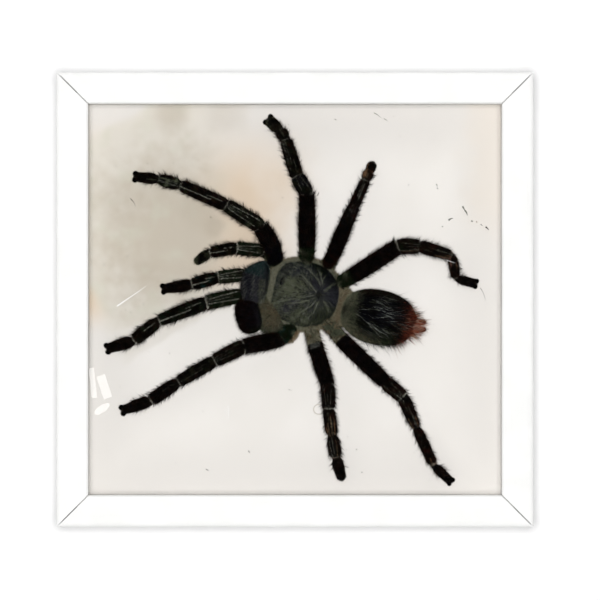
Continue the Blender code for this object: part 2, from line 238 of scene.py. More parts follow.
def mesh_object(name, points, faces, materials, pale=None, face_slots=None):
    """A piece from points in millimetres and faces, riding on the frame's one body; pale is
    how strongly its skin's pale colour shows at each point."""
    mesh = bpy.data.meshes.new(name)
    mesh.from_pydata((np.asarray(points) * MM).tolist(), [], faces)
    for made in materials:
        mesh.materials.append(made)
    if face_slots is not None:
        mesh.polygons.foreach_set("material_index", face_slots)
    if pale is not None:
        mesh.shade_smooth()
        layer = mesh.attributes.new("pale", "FLOAT", "POINT")
        layer.data.foreach_set("value", np.broadcast_to(pale, len(points)).astype(np.float32))
    mesh.update()
    return ride(name, mesh)


def skin_object(name, points, faces, skins, pale=0.0, face_slots=None):
    """A skin in place of the CAD node of the same name."""
    materials = [SKINS[skin] for skin in skins]
    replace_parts(mesh_object(name, points, faces, materials, pale, face_slots), name)


def ride(name, mesh):
    made = bpy.data.objects.new(name, mesh)
    bpy.context.scene.collection.objects.link(made)
    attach(made, "root")
    return made


def joined(bodies):
    """One set of points and faces from several, and how many faces each has."""
    points, faces, counts = [], [], []
    start = 0
    for own_points, own_faces in bodies:
        faces += [tuple(i + start for i in face) for face in own_faces]
        points.append(own_points)
        counts.append(len(own_faces))
        start += len(own_points)
    return np.concatenate(points), faces, counts


def unit(vectors):
    return vectors / np.maximum(np.linalg.norm(vectors, axis=-1, keepdims=True), 1e-9)


def grid_faces(rows, sides):
    """Quads of a tube of rings, and a cap at each end."""
    faces = []
    for row in range(rows - 1):
        for i in range(sides):
            j = (i + 1) % sides
            a = row * sides
            faces.append((a + i, a + j, a + sides + j, a + sides + i))
    faces.append(tuple(reversed(range(sides))))
    faces.append(tuple((rows - 1) * sides + i for i in range(sides)))
    return faces


def strip_faces(quads, pointed):
    """Triangles of a flat strip of quads; a pointed one has one more triangle at its end."""
    faces = []
    for a in range(0, 2 * quads, 2):
        faces += [(a, a + 1, a + 3), (a, a + 3, a + 2)]
    if pointed:
        faces.append((2 * quads, 2 * quads + 1, 2 * quads + 2))
    return np.array(faces)


def tint(rng, names, where, share, colour):
    """Gives a share of the hairs in one place another colour."""
    names[where & (rng.random(len(names)) < share)] = colour


class Hairs:
    """Collects hairs as tapered strips and makes one mesh of them."""

    def __init__(self, seed):
        self.rng = np.random.default_rng(seed)
        self.batches = []

    def add(self, roots, directions, lengths, widths, colours, bends=None, steps=1):
        """Hairs from roots along directions; bends is how far the tip is carried, in
        hair lengths; colours are names, one for each hair; steps is pieces to a hair."""
        count = len(roots)
        lengths = np.broadcast_to(lengths, count)[:, None]
        widths = np.broadcast_to(widths, count)[:, None]
        directions = unit(directions)
        bends = np.zeros_like(roots) if bends is None else bends
        across = unit(np.cross(directions, self.rng.normal(size=(count, 3))))
        rows = []
        for step in range(steps):
            t = step / steps
            middle = roots + lengths * (directions * t + bends * t * t)
            half = across * widths * (1 - 0.75 * t) / 2
            rows += [middle - half, middle + half]
        rows.append(roots + lengths * (directions + bends))
        self.keep(np.stack(rows, axis=1), strip_faces(steps - 1, True), colours)

    def add_paths(self, paths, across, widths, colours):
        """Hairs along given paths (hairs x places x 3), as flat strips across the given way."""
        count, places = paths.shape[:2]
        taper = np.linspace(1.0, 0.25, places)[None, :, None]
        half = across[:, None] * np.broadcast_to(widths, count)[:, None, None] * taper / 2
        points = np.stack([paths - half, paths + half], axis=2).reshape(count, 2 * places, 3)
        self.keep(points, strip_faces(places - 1, False), colours)

    def keep(self, points, pattern, colours):
        """Stores hairs (hairs x points x 3) that all have the same pattern of faces."""
        count, per_hair = points.shape[:2]
        faces = (pattern[None] + np.arange(count)[:, None, None] * per_hair).reshape(-1, 3)
        names = np.repeat(np.asarray(colours), len(pattern))
        self.batches.append((points.reshape(-1, 3), faces, names))

    def build(self, name):
        points = np.concatenate([batch[0] for batch in self.batches])
        offsets = np.cumsum([0] + [len(batch[0]) for batch in self.batches[:-1]])
        faces = np.concatenate([batch[1] + offset for batch, offset in zip(self.batches, offsets)])
        names = np.concatenate([batch[2] for batch in self.batches])
        used = sorted(set(names))
        index = np.zeros(len(names), dtype=np.int32)
        mesh = bpy.data.meshes.new(name)
        for number, colour in enumerate(used):
            index[names == colour] = number
            mesh.materials.append(FUR_MATERIALS[colour])
        mesh.vertices.add(len(points))
        mesh.vertices.foreach_set("co", (points * MM).astype(np.float32).ravel())
        mesh.loops.add(faces.size)
        mesh.loops.foreach_set("vertex_index", faces.astype(np.int32).ravel())
        mesh.polygons.add(len(faces))
        mesh.polygons.foreach_set("loop_start", np.arange(len(faces), dtype=np.int32) * 3)
        mesh.polygons.foreach_set("material_index", index)
        mesh.update(calc_edges=True)
        ride(name, mesh)


# ---------------------------------------------------------------- legs

RING_SPACING = 0.4
LEG_SIDES = 18
FUR_DEPTH = 0.35         # how far the short fur stands off the skin
ROOT_REACH = 3.0         # how far a leg's root goes on under the body
ROOT_OWN = {"leg_1_right": (1.2, 4.0)}     # reach and height above the board
TIP_ROUND = 1.2          # length over which a foot's tip is rounded
# How much a leg narrows at the far end of a part, and along what length
PINCH = {"trochanter": 0.05, "femur": 0.11, "patella": 0.14, "tibia": 0.22, "metatarsus": 0.26}
PINCH_SHARE = {"leg_3_right": 0.4}
PINCH_REACH = {"trochanter": 0.5, "femur": 0.5, "patella": 0.6, "tibia": 0.9, "metatarsus": 1.0}
SWELL = {"trochanter": 0.0, "femur": 0.07, "patella": 0.06, "tibia": 0.05, "metatarsus": 0.1,
         "tarsus": 0.1}


class Tube:
    """A leg's skin as rings: middles, directions, radii, and the part that each ring is on."""

    def __init__(self, name, joints):
        parts = PALP_PARTS if name.startswith("pedipalp") else LEG_PARTS
        joints = np.array(joints)
        inward = np.array([*CARAPACE_CENTRE, joints[0, 2]]) - joints[0, :3]
        reach, height = ROOT_OWN.get(name, (ROOT_REACH, joints[0, 2]))
        joints[0, :3] += unit(inward) * reach
        joints[0, 2] = height
        joints[:, 2] += BOARD_TOP
        rows = []
        for number, (part, a, b) in enumerate(zip(parts, joints, joints[1:])):
            last = number == len(parts) - 1
            before = parts[number - 1] if number else None
            rows += self.part_rows(part, before, a, b, last, PINCH_SHARE.get(name, 1.0))
        table = np.array([row[1:] for row in rows])
        self.middles = self.rounded(np.array([row[0] for row in rows]))
        self.radii, self.part, self.along, self.to_end = table.T
        from_tip = (len(self.radii) - 1 - np.arange(len(self.radii))) * RING_SPACING
        self.radii *= np.sqrt(np.clip(1 - (1 - from_tip / TIP_ROUND).clip(0, 1) ** 2, 0.06, 1))
        self.radii[0] *= 0.6
        self.forward = unit(np.gradient(self.middles, axis=0))
        self.side = unit(np.cross(self.forward, (0.0, 0.0, 1.0)))
        self.up = np.cross(self.side, self.forward)
        self.steps = np.linalg.norm(np.gradient(self.middles, axis=0), axis=1)

    @staticmethod
    def part_rows(part, before, a, b, last, pinch_share):
        """Rings from joint a up to joint b: middle, radius, part, share of its length, and
        how far its far end is."""
        length = np.linalg.norm(b[:3] - a[:3])
        rings = max(4, int(round(length / RING_SPACING)))
        rows = []
        for step in range(rings + (1 if last else 0)):
            share = step / rings
            to_end = (1 - share) * length
            pinch = 0.0
            if before:
                pinch += PINCH[before] * math.exp(-(share * length / PINCH_REACH[before]) ** 2)
            if not last:
                pinch += PINCH[part] * math.exp(-(to_end / PINCH_REACH[part]) ** 2)
            thick = a[3] + (b[3] - a[3]) * share
            swell = 1 + SWELL[part] * math.sin(math.pi * share)
            radius = thick / 2 * swell * (1 - pinch * pinch_share) - FUR_DEPTH
            rows.append((a[:3] + (b[:3] - a[:3]) * share, radius, PART_INDEX[part], share,
                         9.0 if last else to_end))
        return rows

    @staticmethod
    def rounded(middles, passes=3):
        """Softens the corners at the joints."""
        for _ in range(passes):
            middles[1:-1] = (middles[:-2] + 2 * middles[1:-1] + middles[2:]) / 4
        return middles

    def points(self):
        turns = np.arange(LEG_SIDES) * 2 * math.pi / LEG_SIDES
        outward = (np.cos(turns)[None, :, None] * self.up[:, None]
                   + np.sin(turns)[None, :, None] * self.side[:, None])
        return (self.middles[:, None] + outward * self.radii[:, None, None]).reshape(-1, 3), turns

    def scatter(self, rng, count):
        """Random places on the skin: roots, outward and forward directions, and the ring."""
        share = self.radii * self.steps
        row = rng.choice(len(share), size=count, p=share / share.sum())
        shift = (rng.random(count) - 0.5)[:, None] * self.steps[row][:, None]
        turn = rng.random(count) * 2 * math.pi - math.pi
        outward = np.cos(turn)[:, None] * self.up[row] + np.sin(turn)[:, None] * self.side[row]
        roots = self.middles[row] + self.forward[row] * shift + outward * self.radii[row][:, None]
        return roots, outward, self.forward[row], row, turn

    def far(self):
        """Distance along the leg of each ring."""
        return np.cumsum(self.steps)


# Pale lengthwise lines: part, turn from the back of the leg at the line's two ends, where
# along the part it starts and ends, and how bright it is
LINES = (
    ("patella", -0.50, -0.22, 0.08, 0.92, 0.9),
    ("patella", 0.12, 0.06, 0.30, 0.95, 0.6),
    ("patella", 0.72, 0.36, 0.04, 0.90, 1.0),
    ("tibia", -0.16, -0.22, 0.28, 0.97, 1.0),
    ("tibia", 0.30, 0.22, 0.05, 0.38, 0.7),
    ("metatarsus", 0.10, 0.25, 0.10, 0.55, 0.5),
)
LINE_HALF = 0.18
# Coloured streaks of single legs: part, turn at the streak's two ends, where along the part
# it starts and ends, how dense it is, and its colour
STREAKS = {
    "leg_3_left": (
        ("tibia", -0.85, -0.55, 0.30, 1.00, 0.6, "tan"),
        ("tibia", -0.10, -0.05, 0.15, 0.95, 0.6, "beige"),
        ("tibia", 0.60, 0.45, 0.45, 1.00, 0.6, "beige"), ("tibia", 1.00, 0.90, 0.60, 1.00, 0.7, "tan"),
        ("metatarsus", -0.60, -0.30, 0.20, 0.95, 0.45, "beige"),
        ("metatarsus", 0.10, 0.25, 0.10, 0.80, 0.4, "grey"),
        ("metatarsus", 0.80, 0.60, 0.15, 0.90, 0.5, "grey")),
    "leg_4_left": (
        ("tibia", -0.90, -0.60, 0.65, 0.98, 0.4, "tan"),
        ("tibia", 0.75, 0.85, 0.60, 1.00, 0.6, "beige"),
        ("metatarsus", 0.20, 0.10, 0.75, 0.98, 0.5, "tan"),
        ("metatarsus", -0.80, -0.60, 0.70, 0.98, 0.4, "maroon")),
    "leg_4_right": (
        ("patella", 0.80, 0.70, 0.10, 0.95, 0.4, "beige"),
        ("tibia", 0.95, 0.75, 0.45, 0.90, 0.5, "beige"),
        ("tibia", 0.15, 0.35, 0.75, 0.99, 0.4, "tan"), ("tibia", 1.25, 1.05, 0.70, 1.00, 0.7, "pink"),
        ("metatarsus", 0.60, 0.20, 0.02, 0.35, 0.6, "pink"),
        ("metatarsus", -0.70, -0.40, 0.20, 0.60, 0.4, "tan"),
        ("metatarsus", 1.30, 1.10, 0.05, 0.80, 0.4, "beige")),
    "leg_3_right": (
        ("tibia", 0.25, 0.10, 0.25, 0.80, 0.5, "grey"),
        ("metatarsus", -1.00, -0.90, 0.00, 1.00, 0.85, "tan"),
        ("metatarsus", -0.55, -0.45, 0.00, 0.95, 0.8, "tan"),
        ("metatarsus", -0.10, 0.05, 0.05, 0.60, 0.6, "beige"),
        ("tarsus", -1.00, -0.85, 0.00, 0.50, 0.7, "tan")),
    "leg_2_right": (
        ("tibia", -0.80, -0.60, 0.10, 0.90, 0.4, "grey"),
        ("metatarsus", 0.0, 0.2, 0.10, 0.90, 0.5, "sage")),
    "leg_1_right": (
        ("metatarsus", -0.40, -0.20, 0.05, 0.90, 0.8, "grey"),
        ("metatarsus", 0.50, 0.30, 0.10, 0.95, 0.7, "sage"),
        ("tarsus", -0.30, -0.10, 0.00, 0.45, 0.6, "sage")),
}
# Rings of a warmer colour than the rest
WARM_RINGS = {"leg_3_left": ("tibia", "metatarsus"), "leg_4_left": ("tibia", "metatarsus"),
              "leg_4_right": ("tibia",), "leg_3_right": ("metatarsus",)}
LINE_STRENGTH = {
    "leg_1_left": 1.0, "pedipalp_left": 0.9, "pedipalp_right": 0.8, "leg_1_right": 0.75,
    "leg_2_left": 0.27, "leg_2_right": 0.3, "leg_3_left": 0.4, "leg_3_right": 0.22,
    "leg_4_left": 0.3, "leg_4_right": 0.3,
}
# Width and strength of the pale ring at the far end of each part
RINGS = {
    "leg_1_right": {"femur": (0.4, 0.5), "patella": (0.6, 0.9), "tibia": (0.6, 0.9),
                    "metatarsus": (0.45, 0.6)},
    "leg_2_right": {"femur": (0.4, 0.45), "patella": (0.5, 0.7), "tibia": (0.5, 0.6),
                    "metatarsus": (0.4, 0.3)},
    "leg_3_right": {"patella": (0.2, 0.15), "tibia": (0.5, 0.8), "metatarsus": (0.3, 0.3)},
    "leg_4_right": {"femur": (0.45, 0.85), "patella": (0.35, 0.3), "tibia": (0.7, 0.5),
                    "metatarsus": (0.6, 0.85)},
    "leg_1_left": {"femur": (0.6, 0.9), "patella": (0.8, 1.0), "tibia": (0.6, 0.9),
                   "metatarsus": (0.8, 0.8)},
    "leg_2_left": {"femur": (0.4, 0.7), "patella": (0.5, 0.9), "tibia": (0.5, 0.8),
                   "metatarsus": (0.7, 0.8)},
    "leg_3_left": {"femur": (0.35, 0.5), "patella": (0.5, 0.8), "tibia": (0.4, 0.4),
                   "metatarsus": (0.7, 0.9)},
    "leg_4_left": {"femur": (0.2, 0.2), "patella": (0.5, 0.8), "tibia": (0.4, 0.3),
                   "metatarsus": (1.2, 0.8)},
    "pedipalp_right": {"femur": (0.5, 0.6), "patella": (0.5, 0.7), "tibia": (0.7, 0.8)},
    "pedipalp_left": {"femur": (0.4, 0.5), "patella": (0.45, 0.8), "tibia": (0.5, 0.8)},
}


def on_streak(tube, row, turn, part, turn_start, turn_end, start, end):
    """True on a narrow lengthwise band of one part."""
    along = tube.along[row]
    centre = turn_start + (turn_end - turn_start) * along
    half = LINE_HALF / np.maximum(tube.radii[row], 0.5)
    near = (tube.part[row] == PART_INDEX[part]) & (along > start) & (along < end)
    return near & (np.abs(turn - centre) < half)


def line_mask(name, tube, row, turn):
    """How strongly one of the pale lengthwise lines shows, from 0 to 1."""
    strength = np.zeros(len(row))
    for *band, bright in LINES:
        strength[on_streak(tube, row, turn, *band)] = bright * LINE_STRENGTH[name]
    return strength


def ring_mask(name, tube, row, turn):
    """How strongly the pale ring at a part's far end shows; it bows towards the tip."""
    strength = np.zeros(len(row))
    for part, (width, bright) in RINGS[name].items():
        far = tube.to_end[row] - 0.35 * (1 - np.cos(turn))
        on_ring = (tube.part[row] == PART_INDEX[part]) & (np.abs(far) < width * 0.9)
        strength[on_ring] = bright
    uneven = 0.8 + 0.3 * np.cos(turn - 1.9 + len(name))
    return np.clip(strength * uneven, 0, 1)


# The darks of each part, from the commonest to the rarest along a slow random wave
SHADES = {
    "trochanter": "moss olive black sage",
    "femur": "black blue_black brown black",
    "patella": "black moss black olive",
    "tibia": "black black moss brown",
    "metatarsus": "black brown black moss",
    "tarsus": "black brown black blue_black",
}
SHADES_OWN = {
    "leg_1_right": {"trochanter": "blue_black black blue_black moss",
                    "metatarsus": "black moss olive sage",
                    "tibia": "black blue_black maroon moss"},
    "leg_2_right": {"tarsus": "black olive brown black",
                    "patella": "blue_black black moss black"},
    "leg_3_right": {"trochanter": "black maroon black brown",
                    "metatarsus": "brown black maroon tan",
                    "tarsus": "black brown black maroon",
                    "patella": "black blue_black maroon black",
                    "tibia": "black black maroon brown"},
    "leg_4_right": {"trochanter": "moss olive moss sage",
                    "patella": "black brown black moss",
                    "tibia": "black brown black maroon",
                    "metatarsus": "black maroon brown black"},
    "leg_1_left": {"patella": "moss black moss olive",
                   "tibia": "black moss blue_black moss",
                   "metatarsus": "black brown black moss"},
    "leg_2_left": {"trochanter": "moss teal olive sage",
                   "patella": "black brown black moss",
                   "metatarsus": "black blue_black black brown"},
    "leg_3_left": {"trochanter": "straw sage beige olive",
                   "patella": "black blue_black black brown",
                   "tibia": "black brown black maroon",
                   "metatarsus": "black black brown black"},
    "leg_4_left": {"trochanter": "sage beige olive straw",
                   "patella": "black maroon black brown",
                   "tibia": "black brown maroon black",
                   "metatarsus": "black brown black maroon"},
    "pedipalp_right": {"patella": "moss black moss olive",
                       "tarsus": "black olive moss olive"},
    "pedipalp_left": {"patella": "moss olive moss black",
                      "tibia": "black moss blue_black teal"},
}


def colours_for(rng, name, tube, row, turn):
    """Hair colours in soft patches along and round the leg."""
    far = tube.far()[row]
    phase = rng.uniform(0, 6.28, 3)
    wave = (np.sin(far * 1.9 + phase[0] + 1.6 * np.sin(turn + phase[1]))
            + np.sin(far * 0.83 + 2 * turn + phase[2]) + rng.normal(scale=0.35, size=len(row)))
    pick = np.digitize(wave, (0.35, 0.95, 1.5))
    names = np.empty(len(row), dtype="<U10")
    for part in LEG_PARTS:
        shades = np.array(SHADES_OWN.get(name, {}).get(part, SHADES[part]).split())
        here = tube.part[row] == PART_INDEX[part]
        names[here] = shades[pick[here]]
    if name == "leg_3_left":
        # painted sheen: slate and grey hairs on top of the femur's root
        painted_sheen = (tube.part[row] == PART_INDEX["femur"]) & (tube.along[row] < 0.1) & (np.abs(turn) < 0.8)
        names[painted_sheen] = rng.choice(["slate", "grey"], size=painted_sheen.sum())
    edge = (np.abs(np.abs(turn) - 1.5) < 0.5) & np.isin(names, ("black", "blue_black"))
    tint(rng, names, edge, 0.3, "brown")
    return names


def leg_skin(name, tube):
    points, turns = tube.points()
    rows = len(tube.radii)
    row = np.repeat(np.arange(rows), LEG_SIDES)
    turn = np.tile((turns + math.pi) % (2 * math.pi) - math.pi, rows)
    skin_object(name, points, grid_faces(rows, LEG_SIDES), ["leg_skin"],
                ring_mask(name, tube, row, turn))


def lean(outward, forward, degrees, rng, jitter=0.25):
    """Directions leaning from outward towards forward, each with a little disorder."""
    angle = np.radians(degrees)
    angle = angle[:, None] if np.ndim(angle) else angle
    base = outward * np.cos(angle) + forward * np.sin(angle)
    return unit(base + rng.normal(scale=jitter, size=base.shape))


VELVET_DENSITY = 75      # short hairs to a square millimetre of skin
FRINGE_DENSITY = 0.9
SETA_DENSITY = 2.3


def leg_fur(name, tube, number):
    hairs = Hairs(100 + number)
    area = float((tube.radii * tube.steps).sum() * 2 * math.pi)
    leg_velvet(hairs, name, tube, int(area * VELVET_DENSITY))
    leg_fringe(hairs, tube, int(area * FRINGE_DENSITY), (0.8, 1.3), (25, 60), 0.13)
    leg_fringe(hairs, tube, int(area * SETA_DENSITY), (1.2, 2.4), (15, 55), 0.17)
    claw_tuft(hairs, name, tube)
    hairs.build(name + "_fur")


def leg_velvet(hairs, name, tube, count):
    rng = hairs.rng
    roots, outward, forward, row, turn = tube.scatter(rng, count)
    names = colours_for(rng, name, tube, row, turn)
    line = line_mask(name, tube, row, turn)
    ring = ring_mask(name, tube, row, turn)
    on_line = rng.random(count) < line
    names[on_line] = np.where(rng.random(on_line.sum()) < 0.3 + 0.5 * line[on_line], "grey", "sage")
    tint(rng, names, line >= 0, 0.35 * line ** 2, "pale")
    for *band, dense, colour in STREAKS.get(name, ()):
        tint(rng, names, on_streak(tube, row, turn, *band), dense, colour)
    on_ring = rng.random(count) < ring
    names[on_ring] = np.where(rng.random(on_ring.sum()) < 0.25 + 0.6 * ring[on_ring], "pale", "grey")
    for part in WARM_RINGS.get(name, ()):
        warm = on_ring & (tube.part[row] == PART_INDEX[part])
        names[warm] = rng.choice(["pink", "beige", "grey"], size=warm.sum())
    lengths = rng.uniform(0.4, 0.85, count) * np.where(ring > 0, 0.5, 1.0)
    lengths *= np.where(row > len(tube.radii) - 4, 0.5, 1.0)
    if name == "pedipalp_right":
        names[row > len(tube.radii) - 5] = "olive"
        names[row > len(tube.radii) - 3] = "straw"
    hairs.add(roots, lean(outward, forward, rng.uniform(40, 70, count), rng, 0.2), lengths,
              rng.uniform(0.07, 0.11, count), names)


def leg_fringe(hairs, tube, count, lengths, leaning, width):
    """Longer hairs that blur the leg's outline."""
    rng = hairs.rng
    roots, outward, forward, row, _ = tube.scatter(rng, count)
    on_foot = row > len(tube.radii) - 12
    roots, outward, forward = roots[~on_foot], outward[~on_foot], forward[~on_foot]
    count = len(roots)
    names = rng.choice(["black", "brown", "maroon"], size=count, p=[0.6, 0.3, 0.1])
    bends = forward * rng.uniform(0.05, 0.35, count)[:, None]
    hairs.add(roots, lean(outward, forward, rng.uniform(*leaning, count), rng, 0.22),
              rng.uniform(*lengths, count), width, names, bends, steps=2)


TUFT = {"leg_3_left": 0.0, "pedipalp_right": 0.25, "pedipalp_left": 0.95, "leg_4_left": 0.8,
        "leg_4_right": 0.85, "leg_3_right": 0.0}


def claw_tuft(hairs, name, tube, count=2200):
    """The foot's tip: two dense pads of hair, one on each side of a notch."""
    size = TUFT.get(name, 1.0)
    if not size:
        return
    rng = hairs.rng
    tip, forward, side = tube.middles[-1], tube.forward[-1], tube.side[-1]
    width = tube.radii[-6]
    way = np.where(rng.random(count) < 0.5, -1.0, 1.0)[:, None]
    pad = tip + way * side * (0.55 * width + 0.25 * size) - forward * 0.35
    spread = unit(rng.normal(size=(count, 3)))
    spread[:, 2] = np.abs(spread[:, 2]) * 0.8
    directions = spread + forward * 0.5 + way * side * 0.45
    hairs.add(pad + spread * 0.25 * size, directions, size * rng.uniform(0.55, 0.95, count), 0.1,
              np.full(count, "black"))


def build_legs():
    for number, (name, joints) in enumerate(LEGS.items()):
        tube = Tube(name, joints)
        leg_skin(name, tube)
        leg_fur(name, tube, number)


# ---------------------------------------------------------------- body

def body_to_frame(forward, sideways):
    """From the spider's own directions to X and Y in the frame."""
    x = CARAPACE_CENTRE[0] + forward * np.cos(BODY_TURN) + sideways * np.sin(BODY_TURN)
    y = CARAPACE_CENTRE[1] + forward * np.sin(BODY_TURN) - sideways * np.cos(BODY_TURN)
    return x, y


def outline_radius():
    """The carapace's radius as a function of the angle about its middle."""
    half = np.array(CARAPACE_OUTLINE)
    whole = np.concatenate([half, half[-2:0:-1] * (1, -1)])
    knots = np.concatenate([whole[-1:], whole, whole[:2]])
    dense = []
    for a, b, c, d in zip(knots, knots[1:], knots[2:], knots[3:]):
        for t in np.linspace(0, 1, 12, endpoint=False):
            dense.append(0.5 * (2 * b + (c - a) * t + (2 * a - 5 * b + 4 * c - d) * t ** 2
                                + (3 * b - a - 3 * c + d) * t ** 3))
    dense = np.array(dense)
    angles = np.arctan2(dense[:, 1], dense[:, 0])
    radii = np.hypot(dense[:, 0], dense[:, 1])
    order = np.argsort(angles)
    return lambda angle: np.interp(angle, angles[order], radii[order], period=2 * math.pi)


OUTLINE = outline_radius()
RIM_HEIGHT = 4.9
DOME = 4.3
RIM_WIDTH = 1.2          # the pale, slightly raised border
FRONT_RIM_WIDTH = 2.2
# Grooves as bent lines in X and Y, each from the middle pit outwards
GROOVES = (
    ((8.3, 4.2), (7.6, 5.8), (5.7, 8.2), (3.2, 10.4), (-0.4, 11.8)),
    ((8.9, 4.4), (8.4, 6.9), (7.4, 9.6)),
    ((6.8, 2.2), (4.6, 5.2), (2.4, 7.6)),
    ((6.2, 1.4), (2.0, 0.6), (-3.2, -0.3), (-7.0, -1.3)),
    ((6.4, 0.4), (2.2, -0.8), (-1.8, -1.3)),
    ((6.8, -0.4), (4.8, -2.2), (1.4, -4.3)),
    ((7.4, -0.8), (5.9, -4.2), (3.0, -7.0)),
    ((8.8, -0.3), (10.1, -1.7), (10.7, -3.6)),
    ((9.2, 2.6), (10.4, 3.5), (12.0, 4.7)),
)
GROOVE_HALF = 0.34


def near_lines(x, y, lines):
    """Distance from each place to the nearest of the bent lines."""
    best = np.full(np.shape(x), 99.0)
    for line in lines:
        for (ax, ay), (bx, by) in zip(line, line[1:]):
            px, py = bx - ax, by - ay
            share = np.clip(((x - ax) * px + (y - ay) * py) / (px * px + py * py), 0, 1)
            best = np.minimum(best, np.hypot(x - ax - share * px, y - ay - share * py))
    return best


def head_axes(x, y):
    """Places as seen from the middle pit: towards the eyes, and to the spider's left."""
    axis = unit(np.array(EYES) - np.array(FOVEA))
    fx, fy = x - FOVEA[0], y - FOVEA[1]
    return fx * axis[0] + fy * axis[1], -fx * axis[1] + fy * axis[0]


def body_axes(x, y):
    """Places from the carapace's middle: forward, sideways, and the share of the way out."""
    dx, dy = x - CARAPACE_CENTRE[0], y - CARAPACE_CENTRE[1]
    forward = dx * math.cos(BODY_TURN) + dy * math.sin(BODY_TURN)
    sideways = dx * math.sin(BODY_TURN) - dy * math.cos(BODY_TURN)
    return forward, sideways, np.hypot(dx, dy) / OUTLINE(np.arctan2(sideways, forward))


def rim_depth(x, y):
    """How far a place lies inside the pale border, which is widest in front; below 0 on the
    dark side of it."""
    forward, sideways, out = body_axes(x, y)
    radius = OUTLINE(np.arctan2(sideways, forward))
    width = RIM_WIDTH + (FRONT_RIM_WIDTH - RIM_WIDTH) * np.clip((forward - 8.2) / 1.2, 0, 1)
    return width - (1 - out) * radius


def rim_mask(x, y):
    """1 on the pale border."""
    return np.clip(rim_depth(x, y) / 0.3, 0, 1)


def carapace_shape(x, y):
    """Height of the carapace above the board, with its grooves, pit and raised rim."""
    _, _, out = body_axes(x, y)
    height = RIM_HEIGHT + DOME * np.clip(1 - out ** 2.2, 0, 1) ** 0.62
    ahead, beside = head_axes(x, y)
    head = np.exp(-(beside / 4.4) ** 2) / (1 + np.exp(-(ahead - 3.6) / 1.1))
    height = height + 1.2 * head * np.clip(1.3 - out, 0, 1)
    groove = np.exp(-(near_lines(x, y, GROOVES) / GROOVE_HALF) ** 2)
    pit = np.exp(-(ahead / 0.6) ** 2 - (beside / 1.4) ** 2)
    rim = rim_mask(x, y) * np.clip((1.02 - out) * 12, 0, 1)
    return height - 0.3 * groove - 1.0 * pit + 0.3 * rim


def carapace_points(rings=56, sides=144):
    """Polar grid of the carapace's top, its rim, and its sides down to the sternum."""
    turns = np.linspace(-math.pi, math.pi, sides, endpoint=False)
    rows = []
    masks = []
    for share in np.linspace(0.015, 1.0, rings) ** 0.92:
        radius = OUTLINE(turns) * share
        x, y = body_to_frame(radius * np.cos(turns), radius * np.sin(turns))
        z = carapace_shape(x, y)
        rows.append(np.stack([x, y, z], axis=1))
        masks.append(rim_mask(x, y))
    for share, height in ((1.0, RIM_HEIGHT - 0.5), (0.93, RIM_HEIGHT - 1.0), (0.88, 3.0),
                          (0.82, 1.2), (0.66, 0.4)):
        radius = OUTLINE(turns) * share
        x, y = body_to_frame(radius * np.cos(turns), radius * np.sin(turns))
        rows.append(np.stack([x, y, np.full(sides, height)], axis=1))
        masks.append(np.full(sides, 0.3))
    points = np.concatenate(rows)
    points[:, 2] += BOARD_TOP
    return points, np.concatenate(masks), len(rows), sides


def ellipsoid(centre, radii, turn, levels=20, sides=24, squareness=1.0):
    """Points and faces of a rounded body, its long axis along X before it is turned."""
    def push(value):
        return np.sign(value) * np.abs(value) ** squareness

    heights = np.linspace(0.04, math.pi - 0.04, levels)
    turns = np.arange(sides) * 2 * math.pi / sides
    along = -push(np.cos(heights))[:, None] * radii[0] * np.ones(sides)
    girth = push(np.sin(heights))[:, None]
    side = girth * push(np.cos(turns)) * radii[1]
    up = girth * push(np.sin(turns)) * radii[2]
    return place(np.stack([along, side, up], axis=2).reshape(-1, 3), centre, turn), \
        grid_faces(levels, sides)


def place(local, centre, turn):
    x = centre[0] + local[:, 0] * math.cos(turn) - local[:, 1] * math.sin(turn)
    y = centre[1] + local[:, 0] * math.sin(turn) + local[:, 1] * math.cos(turn)
    return np.stack([x, y, centre[2] + local[:, 2] + BOARD_TOP], axis=1)


def scatter_on(rng, points, faces, count):
    """Random places on a mesh and the outward directions there."""
    triangles = []
    for face in faces:
        for i in range(1, len(face) - 1):
            triangles.append((face[0], face[i], face[i + 1]))
    triangles = np.array(triangles)
    a, b, c = (points[triangles[:, k]] for k in range(3))
    crossed = np.cross(b - a, c - a)
    area = np.linalg.norm(crossed, axis=1)
    pick = rng.choice(len(area), size=count, p=area / area.sum())
    u = rng.random(count)
    v = rng.random(count)
    flip = u + v > 1
    u[flip] = 1 - u[flip]
    v[flip] = 1 - v[flip]
    roots = a[pick] + (b - a)[pick] * u[:, None] + (c - a)[pick] * v[:, None]
    outward = unit(crossed[pick])
    middle = points.mean(axis=0)
    if ((outward * (roots - middle)).sum(axis=1) > 0).mean() < 0.5:
        outward = -outward
    return roots, outward


COXA_RADII = (4.2, 2.1, 2.0)
COXA_HEIGHT = 3.7


def coxae():
    """The legs' first parts, spread like spokes under the carapace's rim."""
    bodies = []
    for name, joints in LEGS.items():
        root = np.array(joints[0][:2])
        way = unit(root - np.array(CARAPACE_CENTRE))
        long, wide, high = COXA_RADII
        slim = 0.75 if name.startswith("pedipalp") else 1.0
        place_mm = (*(root - way * 0.9), min(COXA_HEIGHT, joints[0][2]))
        bodies.append(ellipsoid(place_mm, (long, wide * slim, high * slim), math.atan2(way[1], way[0]),
                                levels=12, sides=16))
    return bodies


def waist():
    """The furry stalk between the carapace and the abdomen, with the hind coxae's fuzz."""
    return ellipsoid((14.9, -2.6, 4.3), (3.3, 6.4, 2.6), ABDOMEN_TURN, levels=14, sides=24)


def mouth_base():
    """The furry base of the left pedipalp and chelicera, in front of the carapace."""
    return ellipsoid((-8.0, -4.9, 4.4), (4.6, 6.2, 3.6), math.radians(12.0), levels=16, sides=24)


